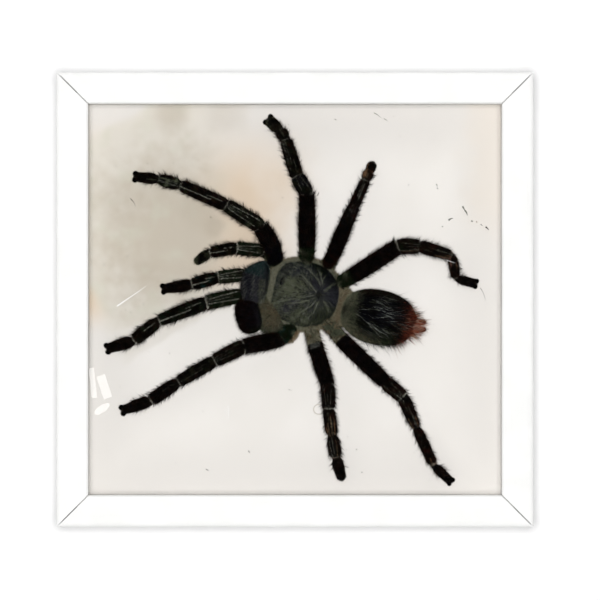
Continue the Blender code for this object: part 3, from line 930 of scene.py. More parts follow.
def build_cephalothorax():
    points, pale, rows, sides = carapace_points()
    bodies = [(points, grid_faces(rows, sides)), *coxae(), waist(), mouth_base()]
    points, faces, counts = joined(bodies)
    masks = np.concatenate([pale, np.full(len(points) - len(pale), 0.35)])
    skin_object("cephalothorax", points, faces, ["carapace_skin", "coxa_skin"], masks,
                np.repeat([0] + [1] * (len(bodies) - 1), counts).astype(np.int32))
    carapace_fur()
    coxa_fur()
    eye_group()


# Where the carapace's down changes colour: middle in X and Y, reach, and colours
CARAPACE_PATCHES = (
    ((-1.0, 3.8), 3.4, "sage olive sage"),
    ((1.6, 6.0), 2.0, "olive sage brown"),
    ((-5.2, 6.2), 2.6, "slate olive sage"),
    ((-3.2, 10.2), 2.8, "blue_black slate olive"),
    ((0.4, 8.6), 2.0, "slate slate violet"),
    ((2.4, 11.2), 2.6, "blue_black slate teal"),
    ((5.0, 8.2), 2.4, "slate blue_black slate"),
    ((8.4, 10.0), 3.6, "black moss blue_black"),
    ((11.6, 6.2), 3.2, "black blue_black slate"),
    ((8.0, 4.4), 2.6, "slate violet blue_black"),
    ((12.2, 1.2), 2.8, "slate violet blue_black"),
    ((-3.8, 0.6), 2.8, "olive sage slate"),
    ((-1.4, -1.6), 2.4, "violet slate slate"),
    ((6.4, -1.2), 3.4, "slate olive violet"),
    ((1.0, -4.8), 3.0, "olive sage moss"),
    ((8.6, -5.4), 3.6, "olive moss slate"),
)


def carapace_colours(rng, x, y):
    """Colour of each hair from the nearest patch, with soft borders between patches."""
    jitter = rng.normal(scale=0.7, size=(2, len(x)))
    scores = []
    for (px, py), reach, _ in CARAPACE_PATCHES:
        scores.append(np.hypot(x + jitter[0] - px, y + jitter[1] - py) / reach)
    nearest = np.argmin(scores, axis=0)
    table = np.array([patch[2].split() for patch in CARAPACE_PATCHES])
    pick = rng.choice(3, size=len(x), p=[0.55, 0.3, 0.15])
    return table[nearest, pick].astype("<U10")


def patches(x, y, pitch, shift):
    """A field between -1 and 1 of small irregular spots."""
    across = np.sin(x * pitch + 2 * np.sin(y * pitch * 0.7 + shift))
    return across * np.sin(y * pitch * 1.1 + 2 * np.sin(x * pitch * 0.6 + 2 * shift))


def carapace_fur():
    hairs = Hairs(7)
    rng = hairs.rng
    count = 90000
    turn = rng.uniform(-math.pi, math.pi, count)
    radius = OUTLINE(turn) * np.sqrt(rng.random(count))
    x, y = body_to_frame(radius * np.cos(turn), radius * np.sin(turn))
    roots, outward = on_carapace(x, y)
    away = np.stack([x - FOVEA[0], y - FOVEA[1], np.zeros(count)], axis=1)
    distance = np.linalg.norm(away, axis=1)
    away = unit(away)
    names = carapace_colours(rng, x, y)
    spoke = np.arctan2(y - FOVEA[1], x - FOVEA[0])
    wave = np.sin(spoke * 11 + 3 * np.sin(spoke * 4 + 0.5 * distance))
    wave = wave + 0.6 * np.sin(spoke * 29 + distance)
    streaked = (distance > 1.0) & (distance < 8.0) & (rng.random(count) < 0.4)
    names[streaked & (wave > 0.6)] = "blue_black"
    names[streaked & (wave < -1.3)] = "sage"
    from_line = near_lines(x, y, GROOVES)
    beside_line = (from_line > 0.2) & (from_line < 0.5)
    tint(rng, names, beside_line, 0.2, "sage")
    tint(rng, names, from_line < 0.12, 0.5, "violet")
    tint(rng, names, distance < 0.9, 0.7, "blue_black")
    head = (x < 5.5) & (rng.random(count) < 0.75)
    names[head & (patches(x, y, 4.1, 3.1) > 0.62)] = "sage"
    plain = np.hypot(x + 1.0, y - 3.8) < 2.6
    names[head & ~plain & (patches(x, y, 3.6, 5.2) > 0.40)] = "blue_black"
    names[head & (patches(x, y, 6.1, 2.2) > 0.70)] = "grey"
    border = rim_depth(x, y)
    tint(rng, names, (border > -0.8) & (border < 0), 0.3, "blue_black")
    rim = rng.random(count) < rim_mask(x, y) * 0.85
    names[rim] = rng.choice(["sage", "grey", "straw"], size=rim.sum(), p=[0.4, 0.15, 0.45])
    warm_rim = rim & (x + 0.8 * rng.normal(size=count) > 9 + 0.6 * y)
    names[warm_rim] = rng.choice(["straw", "beige", "sage"], size=warm_rim.sum())
    lengths = rng.uniform(0.4, 0.75, count)
    hairs.add(roots, lean(outward, away, rng.uniform(58, 80, count), rng, 0.16), lengths,
              rng.uniform(0.06, 0.1, count), names)
    carapace_fringe(hairs)
    groove_hairs(hairs)
    hairs.build("carapace_fur")


def on_carapace(x, y, step=0.05):
    """Places and outward directions on the carapace at X and Y."""
    z = carapace_shape(x, y)
    slope_x = (carapace_shape(x + step, y) - z) / step
    slope_y = (carapace_shape(x, y + step) - z) / step
    outward = unit(np.stack([-slope_x, -slope_y, np.ones(len(x))], axis=1))
    return np.stack([x, y, z + BOARD_TOP], axis=1), outward


def carapace_fringe(hairs, count=9000):
    """Pale hairs that stand out round the rim."""
    rng = hairs.rng
    turn = rng.uniform(-math.pi, math.pi, count)
    radius = OUTLINE(turn) * rng.uniform(0.95, 1.01, count)
    x, y = body_to_frame(radius * np.cos(turn), radius * np.sin(turn))
    z = rng.uniform(RIM_HEIGHT - 0.7, RIM_HEIGHT + 0.5, count) + BOARD_TOP
    out_x, out_y = body_to_frame(np.cos(turn), np.sin(turn))
    away = np.stack([out_x - CARAPACE_CENTRE[0], out_y - CARAPACE_CENTRE[1], np.full(count, 0.1)],
                    axis=1)
    names = rng.choice(["beige", "sage", "straw", "tan", "olive"], size=count,
                       p=[0.25, 0.3, 0.3, 0.05, 0.1])
    hairs.add(np.stack([x, y, z], axis=1), away + rng.normal(scale=0.35, size=(count, 3)),
              rng.uniform(0.6, 1.5, count), 0.08, names, steps=2)


def groove_hairs(hairs, spacing=0.1):
    """Fine light hairs that lie along the grooves' edges."""
    rng = hairs.rng
    roots, ways = [], []
    for line in GROOVES:
        for a, b in zip(line, line[1:]):
            a, b = np.array(a), np.array(b)
            number = max(3, int(np.linalg.norm(b - a) / spacing))
            share = rng.random(number)[:, None]
            across = np.array([a[1] - b[1], b[0] - a[0]]) / np.linalg.norm(b - a)
            shift = rng.normal(scale=0.11, size=(number, 1))
            roots.append(a + (b - a) * share + across * shift)
            ways.append(np.broadcast_to(b - a, (number, 2)))
    roots = np.concatenate(roots)
    ways = unit(np.concatenate(ways))
    places, outward = on_carapace(roots[:, 0], roots[:, 1])
    places[:, 2] += 0.3
    directions = np.concatenate([ways, np.full((len(ways), 1), -0.05)], axis=1)
    directions = directions - outward * (outward * directions).sum(axis=1, keepdims=True)
    names = rng.choice(["grey", "sage", "silver"], size=len(places), p=[0.35, 0.6, 0.05])
    hairs.add(places, unit(directions) + rng.normal(scale=0.08, size=places.shape),
              rng.uniform(0.7, 1.5, len(places)), 0.09, names, steps=2)


COXA_SHARES = {"left": {"beige": 0.4, "straw": 0.36, "pink": 0.08, "tan": 0.16},
               "right": {"moss": 0.4, "olive": 0.3, "sage": 0.2, "straw": 0.1}}


def coxa_fur():
    hairs = Hairs(8)
    rng = hairs.rng
    for name, (points, faces) in zip(LEGS, coxae()):
        shares = COXA_SHARES["left" if name.endswith("left") else "right"]
        body_part_fur(hairs, points, faces, shares, 2800)
    body_part_fur(hairs, *waist(), {"beige": 0.3, "sage": 0.2, "straw": 0.5}, 9000)
    body_part_fur(hairs, *mouth_base(),
                  {"sage": 0.35, "olive": 0.35, "moss": 0.2, "violet": 0.1}, 11000)
    points, faces = mouth_base()
    roots, outward = scatter_on(rng, points, faces, 260)
    hairs.add(roots, lean(outward, np.broadcast_to([-0.6, -0.8, 0.0], roots.shape), 50.0, rng),
              rng.uniform(1.0, 2.0, 260), 0.08, np.full(260, "grey"), outward * -0.4, steps=3)
    hairs.build("coxa_fur")


def body_part_fur(hairs, points, faces, shares, count):
    rng = hairs.rng
    roots, outward = scatter_on(rng, points, faces, count)
    away = unit((roots - np.array([*CARAPACE_CENTRE, 0.0])) * (1, 1, 0))
    names = rng.choice(list(shares), size=count, p=list(shares.values()))
    hairs.add(roots, lean(outward, away, rng.uniform(20, 60, count), rng),
              rng.uniform(0.55, 1.2, count), 0.085, names)


# Ahead of the knob's middle, beside it, and radius of one eye of each pair
EYE_LAYOUT = ((0.45, 0.4, 0.24), (0.42, 0.95, 0.2), (-0.1, 1.1, 0.18), (-0.22, 0.58, 0.15))


def eye_group():
    """Eight small bead eyes on a low knob at the front of the carapace."""
    axis = unit(np.array(EYES) - np.array(FOVEA))
    across = np.array([-axis[1], axis[0]])
    top = float(carapace_shape(np.array([EYES[0]]), np.array([EYES[1]]))[0])
    bodies = [ellipsoid((*EYES, top - 0.1), (1.0, 1.5, 0.6), math.atan2(axis[1], axis[0]),
                        levels=12, sides=18)]
    for ahead, beside, radius in EYE_LAYOUT:
        for way in (-1, 1):
            spot = np.array(EYES) + axis * ahead + across * beside * way
            lift = top + 0.38 - 0.2 * (beside / 1.1) ** 2
            bodies.append(ellipsoid((*spot, lift), (radius, radius, radius), 0.0, levels=10, sides=12))
    points, faces, counts = joined(bodies)
    mesh_object("eyes", points, faces, [SKINS["carapace_skin"], SKINS["eye_gloss"]], 0.0,
                np.repeat([0] + [1] * (len(bodies) - 1), counts).astype(np.int32))


# Chelicerae: middle, radii, turn, and shares of the fur colours
CHELICERAE = {
    "chelicera_right": ((-12.4, 5.9, 6.5), (4.1, 6.8, 3.9), math.radians(-8.0),
                        {"violet": 0.40, "slate": 0.26, "blue_black": 0.28, "grey": 0.06}),
    # The left chelicera's mostly black fur is painted shade: it stands for the shaded one of the pair.
    "chelicera_left": ((-14.5, -5.2, 5.9), (3.7, 5.3, 4.4), math.radians(14.0),
                       {"black": 0.84, "blue_black": 0.06, "maroon": 0.10}),
}
CHELICERA_SQUARENESS = {"chelicera_right": 0.68, "chelicera_left": 0.74}
CORNER_CUT = 0.5         # how far the right chelicera's front outer corner is cut back


def chelicera_shape(name, centre, radii, turn):
    """A squarish pad; the right one narrows slantwise towards its outer front corner."""
    points, faces = ellipsoid((0.0, 0.0, centre[2]), radii, 0.0, levels=28, sides=36,
                              squareness=CHELICERA_SQUARENESS[name])
    if name == "chelicera_right":
        ahead = np.clip((0.5 - points[:, 0] / radii[0]) / 1.5, 0, 1)
        points[:, 1] *= np.where(points[:, 1] > 0, 1 - CORNER_CUT * ahead, 1.0)
    points[:, 2] -= centre[2] + BOARD_TOP
    return place(points, centre, turn), faces


def build_chelicerae():
    for number, (name, (centre, radii, turn, shares)) in enumerate(CHELICERAE.items()):
        points, faces = chelicera_shape(name, centre, radii, turn)
        skin_object(name, points, faces, ["chelicera_skin"])
        hairs = Hairs(20 + number)
        chelicera_velvet(hairs, name, points, faces, centre, shares)
        chelicera_bristles(hairs, name, points, faces)
        chelicera_fringe(hairs, points, faces)
        hairs.build(name + "_fur")


def chelicera_velvet(hairs, name, points, faces, centre, shares, count=26000):
    rng = hairs.rng
    roots, outward = scatter_on(rng, points, faces, count)
    forward = np.broadcast_to(np.array([-0.95, -0.1, -0.2]), roots.shape)
    names = rng.choice(list(shares), size=count, p=list(shares.values())).astype("<U10")
    local = roots - np.array([*centre[:2], centre[2] + BOARD_TOP])
    x = local[:, 0] + rng.normal(scale=0.35, size=count)
    y = local[:, 1] + rng.normal(scale=0.35, size=count)
    if name == "chelicera_right":
        tint(rng, names, x < -0.9, 0.55, "blue_black")
        corner = (x > 1.0) & (y < 0.5)
        tint(rng, names, corner, 0.5, "olive")
        tint(rng, names, corner, 0.25, "sage")
        teal = (y > 2.0 - 0.35 * x) & (rng.random(count) < 0.85)
        names[teal] = rng.choice(["teal", "teal", "slate"], size=teal.sum())
    else:
        tint(rng, names, x > 2.9, 0.25, "olive")
        tint(rng, names, (y < -3.6) & (x > 0.5), 0.4, "moss")
    hairs.add(roots, lean(outward, forward, rng.uniform(48, 74, count), rng, 0.15),
              rng.uniform(0.45, 0.9, count), 0.085, names)


def chelicera_bristles(hairs, name, points, faces, count=900):
    """Longer, slightly lighter hairs that streak the fur."""
    rng = hairs.rng
    roots, outward = scatter_on(rng, points, faces, count)
    roots = roots[outward[:, 2] > 0.2]
    outward = outward[outward[:, 2] > 0.2]
    count = len(roots)
    along = np.broadcast_to(np.array([-0.35, -0.9, -0.05]), roots.shape)
    light = ["grey", "sage", "violet"] if name == "chelicera_right" else ["black", "brown", "black"]
    names = rng.choice(light, size=count, p=[0.45, 0.2, 0.35])
    locks = np.sin(roots[:, 0] * 2.3) > -0.2
    roots, outward, along, names = roots[locks], outward[locks], along[locks], names[locks]
    hairs.add(roots, lean(outward, along, rng.uniform(62, 80, len(roots)), rng, 0.1),
              rng.uniform(1.1, 2.2, len(roots)), 0.08, names, along * 0.2, steps=3)


def chelicera_fringe(hairs, points, faces, count=900):
    """Dark hairs that stand out in front and at the outer side."""
    rng = hairs.rng
    roots, outward = scatter_on(rng, points, faces, count)
    ahead = (outward[:, 0] < 0.1) & (np.abs(outward[:, 2]) < 0.6)
    roots, outward = roots[ahead], outward[ahead]
    forward = np.broadcast_to(np.array([-0.8, -0.6, 0.0]), roots.shape)
    names = rng.choice(["black", "brown"], size=len(roots))
    hairs.add(roots, lean(outward, forward, rng.uniform(5, 40, len(roots)), rng, 0.15),
              rng.uniform(0.9, 1.9, len(roots)), 0.12, names, steps=2)


# ---------------------------------------------------------------- abdomen

ABDOMEN_CENTRE = (26.5, -5.7, 6.3)
ABDOMEN_RADII = (11.8, 8.3, 5.2)
ABDOMEN_FULLNESS = 0.9
ABDOMEN_TURN = math.radians(-13.0)


def abdomen_local(roots):
    """Places on the abdomen as shares of its radii: backwards, sideways, up."""
    d = roots - np.array([*ABDOMEN_CENTRE[:2], ABDOMEN_CENTRE[2] + BOARD_TOP])
    back = d[:, 0] * math.cos(ABDOMEN_TURN) + d[:, 1] * math.sin(ABDOMEN_TURN)
    side = -d[:, 0] * math.sin(ABDOMEN_TURN) + d[:, 1] * math.cos(ABDOMEN_TURN)
    return back / ABDOMEN_RADII[0], side / ABDOMEN_RADII[1], d[:, 2] / ABDOMEN_RADII[2]


def build_abdomen():
    points, faces = ellipsoid(ABDOMEN_CENTRE, ABDOMEN_RADII, ABDOMEN_TURN, levels=40, sides=48,
                              squareness=ABDOMEN_FULLNESS)
    skin_object("abdomen", points, faces, ["abdomen_skin"])
    hairs = Hairs(31)
    abdomen_velvet(hairs, points, faces)
    for layer in LONG_HAIR:
        combed(hairs, *layer)
    hairs.build("abdomen_fur")


def backward_on(outward):
    """The direction towards the rear along the abdomen's surface."""
    rear = np.array([math.cos(ABDOMEN_TURN), math.sin(ABDOMEN_TURN), 0.0])
    flat = rear - outward * (outward @ rear)[:, None]
    return unit(flat + 1e-6)


def abdomen_velvet(hairs, points, faces, count=85000):
    rng = hairs.rng
    roots, outward = scatter_on(rng, points, faces, count)
    back, side, _ = abdomen_local(roots)
    back = back + rng.normal(scale=0.1, size=count)
    dice = rng.random(count)
    names = np.where(dice < 0.72, "black", np.where(dice < 0.95, "blue_black", "moss")).astype("<U10")
    green = (side < -0.2 - 0.3 * back) & (back < 0.45)
    names[green & (dice < 0.45)] = "moss"
    names[green & (dice > 0.72)] = "olive"
    front = rng.random(count) < np.clip((-0.60 - back) / 0.2, 0, 0.97)
    names[front] = rng.choice(["sage", "olive", "straw"], size=front.sum(), p=[0.68, 0.12, 0.2])
    lower = (side < -0.66 - 0.3 * back) & (back < 0.1) & (dice < 0.5)
    names[lower] = rng.choice(["sage", "olive", "beige"], size=lower.sum(), p=[0.35, 0.5, 0.15])
    edge = (side > 0.72) & (back < 0.5) & (dice < 0.5)
    names[edge] = rng.choice(["brown", "moss", "maroon"], size=edge.sum())
    rear = rng.random(count) < np.clip((back - 0.60) / 0.3, 0, 0.9)
    names[rear] = rng.choice(["rust", "maroon", "brown"], size=rear.sum(), p=[0.35, 0.40, 0.25])
    hairs.add(roots, lean(outward, backward_on(outward), rng.uniform(45, 75, count), rng, 0.15),
              rng.uniform(0.5, 1.1, count), rng.uniform(0.08, 0.11, count), names)


# Long hairs swept back over the abdomen, of which the light ones are few: locks, colours, where
# along it they start, their lengths and width, and hairs to a lock
LONG_HAIR = (
    (1500, "black blue_black black black", (-0.6, 0.6), (2.2, 3.8), 0.13, 2),
    (300, "brown maroon black black", (0.3, 0.85), (2.0, 3.4), 0.12, 2),
    (44, "slate olive slate", (-0.5, 0.5), (3.0, 5.5), 0.12, 2),
    (44, "grey silver sage", (-0.6, 0.45), (3.6, 7.6), 0.12, 1),
    (20, "grey silver sage", (-0.6, 0.1), (4.6, 7.6), 0.12, 2),
    (90, "rust maroon maroon red", (0.62, 1.0), (2.0, 3.4), 0.12, 3),
    (40, "grey tan pink", (0.35, 0.95), (2.6, 4.4), 0.10, 2),
    (100, "pink rust maroon tan", (0.45, 0.98), (3.4, 5.6), 0.09, 2),
    (90, "rust tan pink maroon", (0.86, 0.99), (3.6, 5.8), 0.08, 1),
)


def combed(hairs, locks, colours, reach, lengths, width, hairs_each, places=7):
    """Locks laid backwards on the abdomen's upper side, fanning out towards its flanks."""
    rng = hairs.rng
    back = rng.uniform(*reach, locks)
    side = rng.uniform(-0.93, 0.93, locks) * np.sqrt(np.clip(1 - back ** 2, 0.05, 1))
    fan = np.radians(np.where(side < 0, side * 38, side * 8) - 2 + rng.normal(scale=5, size=locks))
    bow = rng.normal(scale=0.22, size=locks)
    phase = rng.uniform(0, 6.28, locks)
    count = locks * hairs_each
    back, side, fan, bow, phase = (np.repeat(values, hairs_each)
                                   for values in (back, side, fan, bow, phase))
    length = rng.uniform(*lengths, count)
    run = np.linspace(0, 1, places)[None] * length[:, None]
    sway = bow[:, None] * length[:, None] * (run / length[:, None]) ** 2
    sway = sway + 0.16 * np.sin(run * 1.7 + phase[:, None])
    along = back[:, None] * ABDOMEN_RADII[0] + run * np.cos(fan)[:, None]
    along = along + rng.normal(scale=0.1, size=(count, 1))
    beside = side[:, None] * ABDOMEN_RADII[1] + run * np.sin(fan)[:, None] + sway
    beside += rng.normal(scale=0.1, size=(count, 1))
    inside = 1 - (along / ABDOMEN_RADII[0]) ** 2 - (beside / ABDOMEN_RADII[1]) ** 2
    up = np.sqrt(np.clip(inside, 0, 1)) * ABDOMEN_RADII[2]
    up = np.maximum(up, up[:, :1] * 0.55 - 0.25 * run) + 0.4 + 0.35 * run / length[:, None]
    local = np.stack([along, beside, up], axis=2).reshape(-1, 3)
    paths = place(local, ABDOMEN_CENTRE, ABDOMEN_TURN).reshape(count, places, 3)
    across = unit(np.stack([-np.sin(fan), np.cos(fan), rng.normal(scale=0.3, size=count)], axis=1))
    names = np.repeat(rng.choice(colours.split(), size=locks), hairs_each)
    hairs.add_paths(paths, across, width, names)


SPINNERETS = {
    "spinneret_right": ((36.4, -7.4, 2.4), (41.6, -7.2, 2.9)),
    "spinneret_left": ((36.4, -9.6, 2.2), (41.6, -9.5, 2.7)),
}
SPINNERET_HAIRS = 1800


def build_spinnerets():
    for number, (name, (root, tip)) in enumerate(SPINNERETS.items()):
        start = np.array(root)
        end = np.array(tip)
        way = unit(end - start)
        side = unit(np.cross(way, [0, 0, 1.0]))
        up = np.cross(side, way)
        rows = []
        sides = 12
        turns = np.arange(sides) * 2 * math.pi / sides
        shape = ((0, 0.85), (0.3, 0.9), (0.36, 0.78), (0.4, 0.85), (0.66, 0.8), (0.7, 0.66),
                 (0.74, 0.72),
                 (0.92, 0.5), (0.98, 0.3), (1.0, 0.1))
        for share, radius in shape:
            middle = start + (end - start) * share
            rows.append(middle + radius * (np.cos(turns)[:, None] * up + np.sin(turns)[:, None] * side))
        points = np.concatenate(rows)
        points[:, 2] += BOARD_TOP
        faces = grid_faces(len(rows), sides)
        skin_object(name, points, faces, ["spinneret_skin"])
        hairs = Hairs(50 + number)
        rng = hairs.rng
        count = SPINNERET_HAIRS
        roots, outward = scatter_on(rng, points, faces, count)
        forward = np.broadcast_to(way, roots.shape)
        names = rng.choice(["red", "maroon", "rust"], size=count, p=[0.65, 0.25, 0.1])
        hairs.add(roots, lean(outward, forward, rng.uniform(30, 65, count), rng),
                  rng.uniform(0.4, 0.8, count), 0.08, names)
        hairs.build(name + "_fur")


# ---------------------------------------------------------------- board, pane and frame

def dress(names, made):
    """Gives CAD nodes a material."""
    for name in names:
        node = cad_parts[name]
        node.data.materials.clear()
        node.data.materials.append(made)


# The board's colours: clean paper (two), the painted shadow over the upper left where it is faint and
# where it is deep, its greenish clouds, its warm inner border, and the darker band at the upper right
# edge
PAPER = ((0.86, 0.825, 0.785), (0.90, 0.865, 0.83))
# painted shade at the board's edges, offsetting the bounce light from the white walls
EDGE_SHADE = (0.765, 0.735, 0.705)
SHADOW_FAINT = (0.73, 0.69, 0.625)
SHADOW_DEEP = (0.585, 0.525, 0.44)
SHADOW_GREENISH = (0.64, 0.63, 0.53)
SHADOW_WARM = (0.73, 0.59, 0.45)
# a darker band along the upper right edge
RIGHT_EDGE_DARK = (0.775, 0.715, 0.65)
SHADOW_DEEP_MIDDLE = (-0.0385, 0.0207)
# Darker spots in the painted shadow: X, Y, inner and outer radius in metres, and strength
SHADOW_BLOTCHES = (
    (-0.0258, 0.0231, 0.001, 0.004, 0.45),
    (-0.0557, 0.0310, 0.003, 0.011, 0.25),
    (-0.0400, 0.0590, 0.002, 0.008, 0.45),
    (-0.0300, 0.0290, 0.003, 0.009, 0.25),
    (-0.0480, 0.0080, 0.002, 0.008, 0.20),
    (-0.0140, 0.0180, 0.002, 0.009, 0.20),
    (-0.0225, 0.0590, 0.002, 0.010, 0.25),
)
SHADOW_BLOTCH = (0.47, 0.41, 0.33)


def board_material():
    """Cream paper, with a painted shadow over the upper left that ends in straight edges."""
    made, shader, add = new_material("cream_paper")
    coords = coords_of(add)
    split = add("ShaderNodeSeparateXYZ", {"Vector": coords})
    x, y = split.outputs["X"], split.outputs["Y"]
    soft = math_node(add, "SUBTRACT", noise(add, coords, 70.0, detail=3.0), 0.5)
    fine = math_node(add, "SUBTRACT", noise(add, coords, 260.0, detail=4.0), 0.5)
    wobble = product(add, soft, 0.006)
    cloud = noise(add, coords, 42.0, detail=4.0)
    edges, bottom = shadow_edges(add, x, y, wobble)
    shift = math_node(add, "MULTIPLY_ADD", soft, 0.02, x)
    # painted shadow over the upper left: how strongly it shows at each place
    brown = product(add, ramp(add, shift, -0.012, -0.036), edges)
    low_enough = product(add, ramp(add, bottom, 0.0, 0.014), ramp(add, y, 0.060, 0.034))
    # the painted shadow's warm inner border
    warm = product(add, ramp(add, shift, 0.012, -0.015), low_enough)
    colour = mix(add, ramp(add, cloud, 0.3, 0.7), PAPER[0], PAPER[1])
    # painted shade: greyer paper at the edges, offsetting the white walls' bounce light
    colour = mix(add, painted_edge_shade(add, x, y), colour, EDGE_SHADE)
    colour = mix(add, product(add, warm, 0.95), colour, SHADOW_WARM)
    colour = mix(add, brown, colour, shadow_colour(add, coords, soft, fine))
    for spot_x, spot_y, inner, outer, strength in SHADOW_BLOTCHES:
        away = distance_from(add, coords, spot_x, spot_y)
        shadow_spot = ramp(add, math_node(add, "ADD", away, wobble), outer, inner)
        colour = mix(add, product(add, shadow_spot, strength), colour, SHADOW_BLOTCH)
    # darker towards the upper right edge
    right_edge_dark = product(add, ramp(add, shift, 0.050, 0.060), ramp(add, y, 0.012, 0.034))
    colour = mix(add, product(add, right_edge_dark, 0.7), colour, RIGHT_EDGE_DARK)
    fibre = noise(add, coords, 2600.0, detail=6.0, roughness=0.65)
    threads = product(add, ramp(add, fibre, 0.55, 0.75), 0.1)
    wire(shader.inputs["Base Color"], mix(add, threads, colour, (0.62, 0.55, 0.46)))
    shader.inputs["Roughness"].default_value = 0.85
    shader.inputs["Specular IOR Level"].default_value = 0.2
    bump(add, shader, fibre, 0.25, 0.0001)
    return made


def painted_edge_shade(add, x, y):
    """1 at the board's edges, where the paper carries painted shade against the white walls' bounce
    light, and 0 further in.
    """
    across = ramp(add, math_node(add, "ABSOLUTE", x), 0.042, 0.064)
    along = ramp(add, math_node(add, "ABSOLUTE", y), 0.038, 0.060)
    return math_node(add, "MAXIMUM", across, along)


def distance_from(add, coords, x, y):
    """Distance of each place on the board from a point, in metres."""
    return add("ShaderNodeVectorMath", {0: coords, 1: (x, y, BOARD_TOP * MM)},
               operation="DISTANCE").outputs["Value"]


def shadow_edges(add, x, y, wobble):
    """1 inside the painted shadow's upper left, bottom and lower left edges, and the height above
    its bottom edge."""
    corner = math_node(add, "SUBTRACT", math_node(add, "MULTIPLY_ADD", x, 0.582, 0.0889), y)
    inside = ramp(add, math_node(add, "ADD", corner, wobble), -0.0018, 0.0022)
    bottom = math_node(add, "SUBTRACT", y, math_node(add, "MULTIPLY_ADD", x, 0.219, 0.0016))
    inside_low = ramp(add, math_node(add, "ADD", bottom, wobble), -0.0012, 0.0022)
    second = math_node(add, "SUBTRACT", y, math_node(add, "MULTIPLY_ADD", x, 0.6, 0.0117))
    inside_second = ramp(add, math_node(add, "ADD", second, wobble), -0.0010, 0.0018)
    inside_low = math_node(add, "MAXIMUM", inside_low, product(add, inside_second, 0.5))
    lower_left = math_node(add, "MULTIPLY_ADD", y, 0.55, x)
    inside_left = ramp(add, math_node(add, "ADD", lower_left, wobble), -0.0680, -0.0610)
    edges = product(add, product(add, inside, inside_low), inside_left)
    return edges, bottom


def shadow_colour(add, coords, soft, fine):
    """Colour of the painted shadow: deepest near the palps, fainter outwards, with greenish clouds."""
    away = distance_from(add, coords, *SHADOW_DEEP_MIDDLE)
    uneven = math_node(add, "MULTIPLY_ADD", fine, 0.028,
                       math_node(add, "MULTIPLY_ADD", soft, 0.02, away))
    colour = mix(add, ramp(add, uneven, 0.008, 0.040), SHADOW_DEEP, SHADOW_FAINT)
    clouds = ramp(add, noise(add, coords, 120.0, detail=3.0), 0.5, 0.72)
    return mix(add, product(add, clouds, 0.45), colour, SHADOW_GREENISH)


def paint_material(name, along):
    """Satin white paint with the ghost of the wood's grain, which runs along the rail."""
    made, shader, add = new_material(name)
    coords = coords_of(add)
    scale = (40.0, 900.0, 900.0) if along == "x" else (900.0, 40.0, 900.0)
    stretched = add("ShaderNodeMapping", {"Vector": coords, "Scale": scale}).outputs[0]
    grain = noise(add, stretched, 1.0, detail=5.0)
    cloud = noise(add, coords, 90.0)
    colour = mix(add, ramp(add, cloud, 0.3, 0.7), (0.86, 0.86, 0.845), (0.9, 0.9, 0.89))
    colour = mix(add, product(add, ramp(add, grain, 0.58, 0.8), 0.25), colour, (0.78, 0.775, 0.75))
    wire(shader.inputs["Base Color"], colour)
    wire(shader.inputs["Roughness"], math_node(add, "MULTIPLY_ADD", grain, 0.2, 0.3))
    bump(add, shader, grain, 0.35, 0.00015)
    return made


def card_material():
    made, shader, add = new_material("white_card")
    coords = coords_of(add)
    fibre = noise(add, coords, 1800.0, detail=6.0)
    wire(shader.inputs["Base Color"], mix(add, fibre, (0.86, 0.85, 0.82), (0.92, 0.915, 0.9)))
    shader.inputs["Roughness"].default_value = 0.85
    bump(add, shader, fibre, 0.3, 0.0001)
    return made


def hardboard_material():
    made, shader, add = new_material("hardboard")
    coords = coords_of(add)
    fibre = noise(add, coords, 700.0, detail=8.0, roughness=0.7)
    fleck = ramp(add, noise(add, coords, 2400.0), 0.6, 0.7)
    colour = mix(add, fibre, (0.20, 0.115, 0.06), (0.42, 0.27, 0.155))
    wire(shader.inputs["Base Color"], mix(add, product(add, fleck, 0.5), colour, (0.12, 0.07, 0.04)))
    shader.inputs["Roughness"].default_value = 0.8
    bump(add, shader, fibre, 0.5, 0.0002)
    return made


def metal_material(name, low, high, roughness):
    made, shader, add = new_material(name)
    coords = coords_of(add)
    stretched = add("ShaderNodeMapping",
                    {"Vector": coords, "Scale": (300.0, 6000.0, 3000.0)}).outputs[0]
    lines = noise(add, stretched, 1.0, detail=3.0)
    wire(shader.inputs["Base Color"], mix(add, lines, low, high))
    shader.inputs["Metallic"].default_value = 1.0
    wire(shader.inputs["Roughness"], math_node(add, "MULTIPLY_ADD", lines, 0.25, roughness))
    bump(add, shader, lines, 0.2, 0.00005)
    return made


def glass_material():
    made, shader, _ = new_material("clear_glass")
    shader.inputs["Base Color"].default_value = (0.985, 0.992, 0.99, 1.0)
    shader.inputs["Transmission Weight"].default_value = 1.0
    shader.inputs["Roughness"].default_value = 0.0
    shader.inputs["IOR"].default_value = 1.45
    return made


def build_frame():
    dress(("rail_top", "rail_bottom"), paint_material("white_paint_x", "x"))
    dress(("rail_left", "rail_right"), paint_material("white_paint_y", "y"))
    dress(("spacer_top", "spacer_bottom", "spacer_left", "spacer_right"), card_material())
    dress(("mounting_board",), board_material())
    dress(("back_panel",), hardboard_material())
    steel = metal_material("zinc_steel", (0.45, 0.45, 0.46), (0.66, 0.66, 0.67), 0.25)
    dress(("hanger", "back_tab_top", "back_tab_bottom", "back_tab_left", "back_tab_right"), steel)
    brass = metal_material("brass", (0.62, 0.44, 0.18), (0.8, 0.62, 0.3), 0.22)
    dress(("hanger_nail_left", "hanger_nail_right"), brass)
    dress(("glazing",), glass_material())
    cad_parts["glazing"].visible_shadow = False


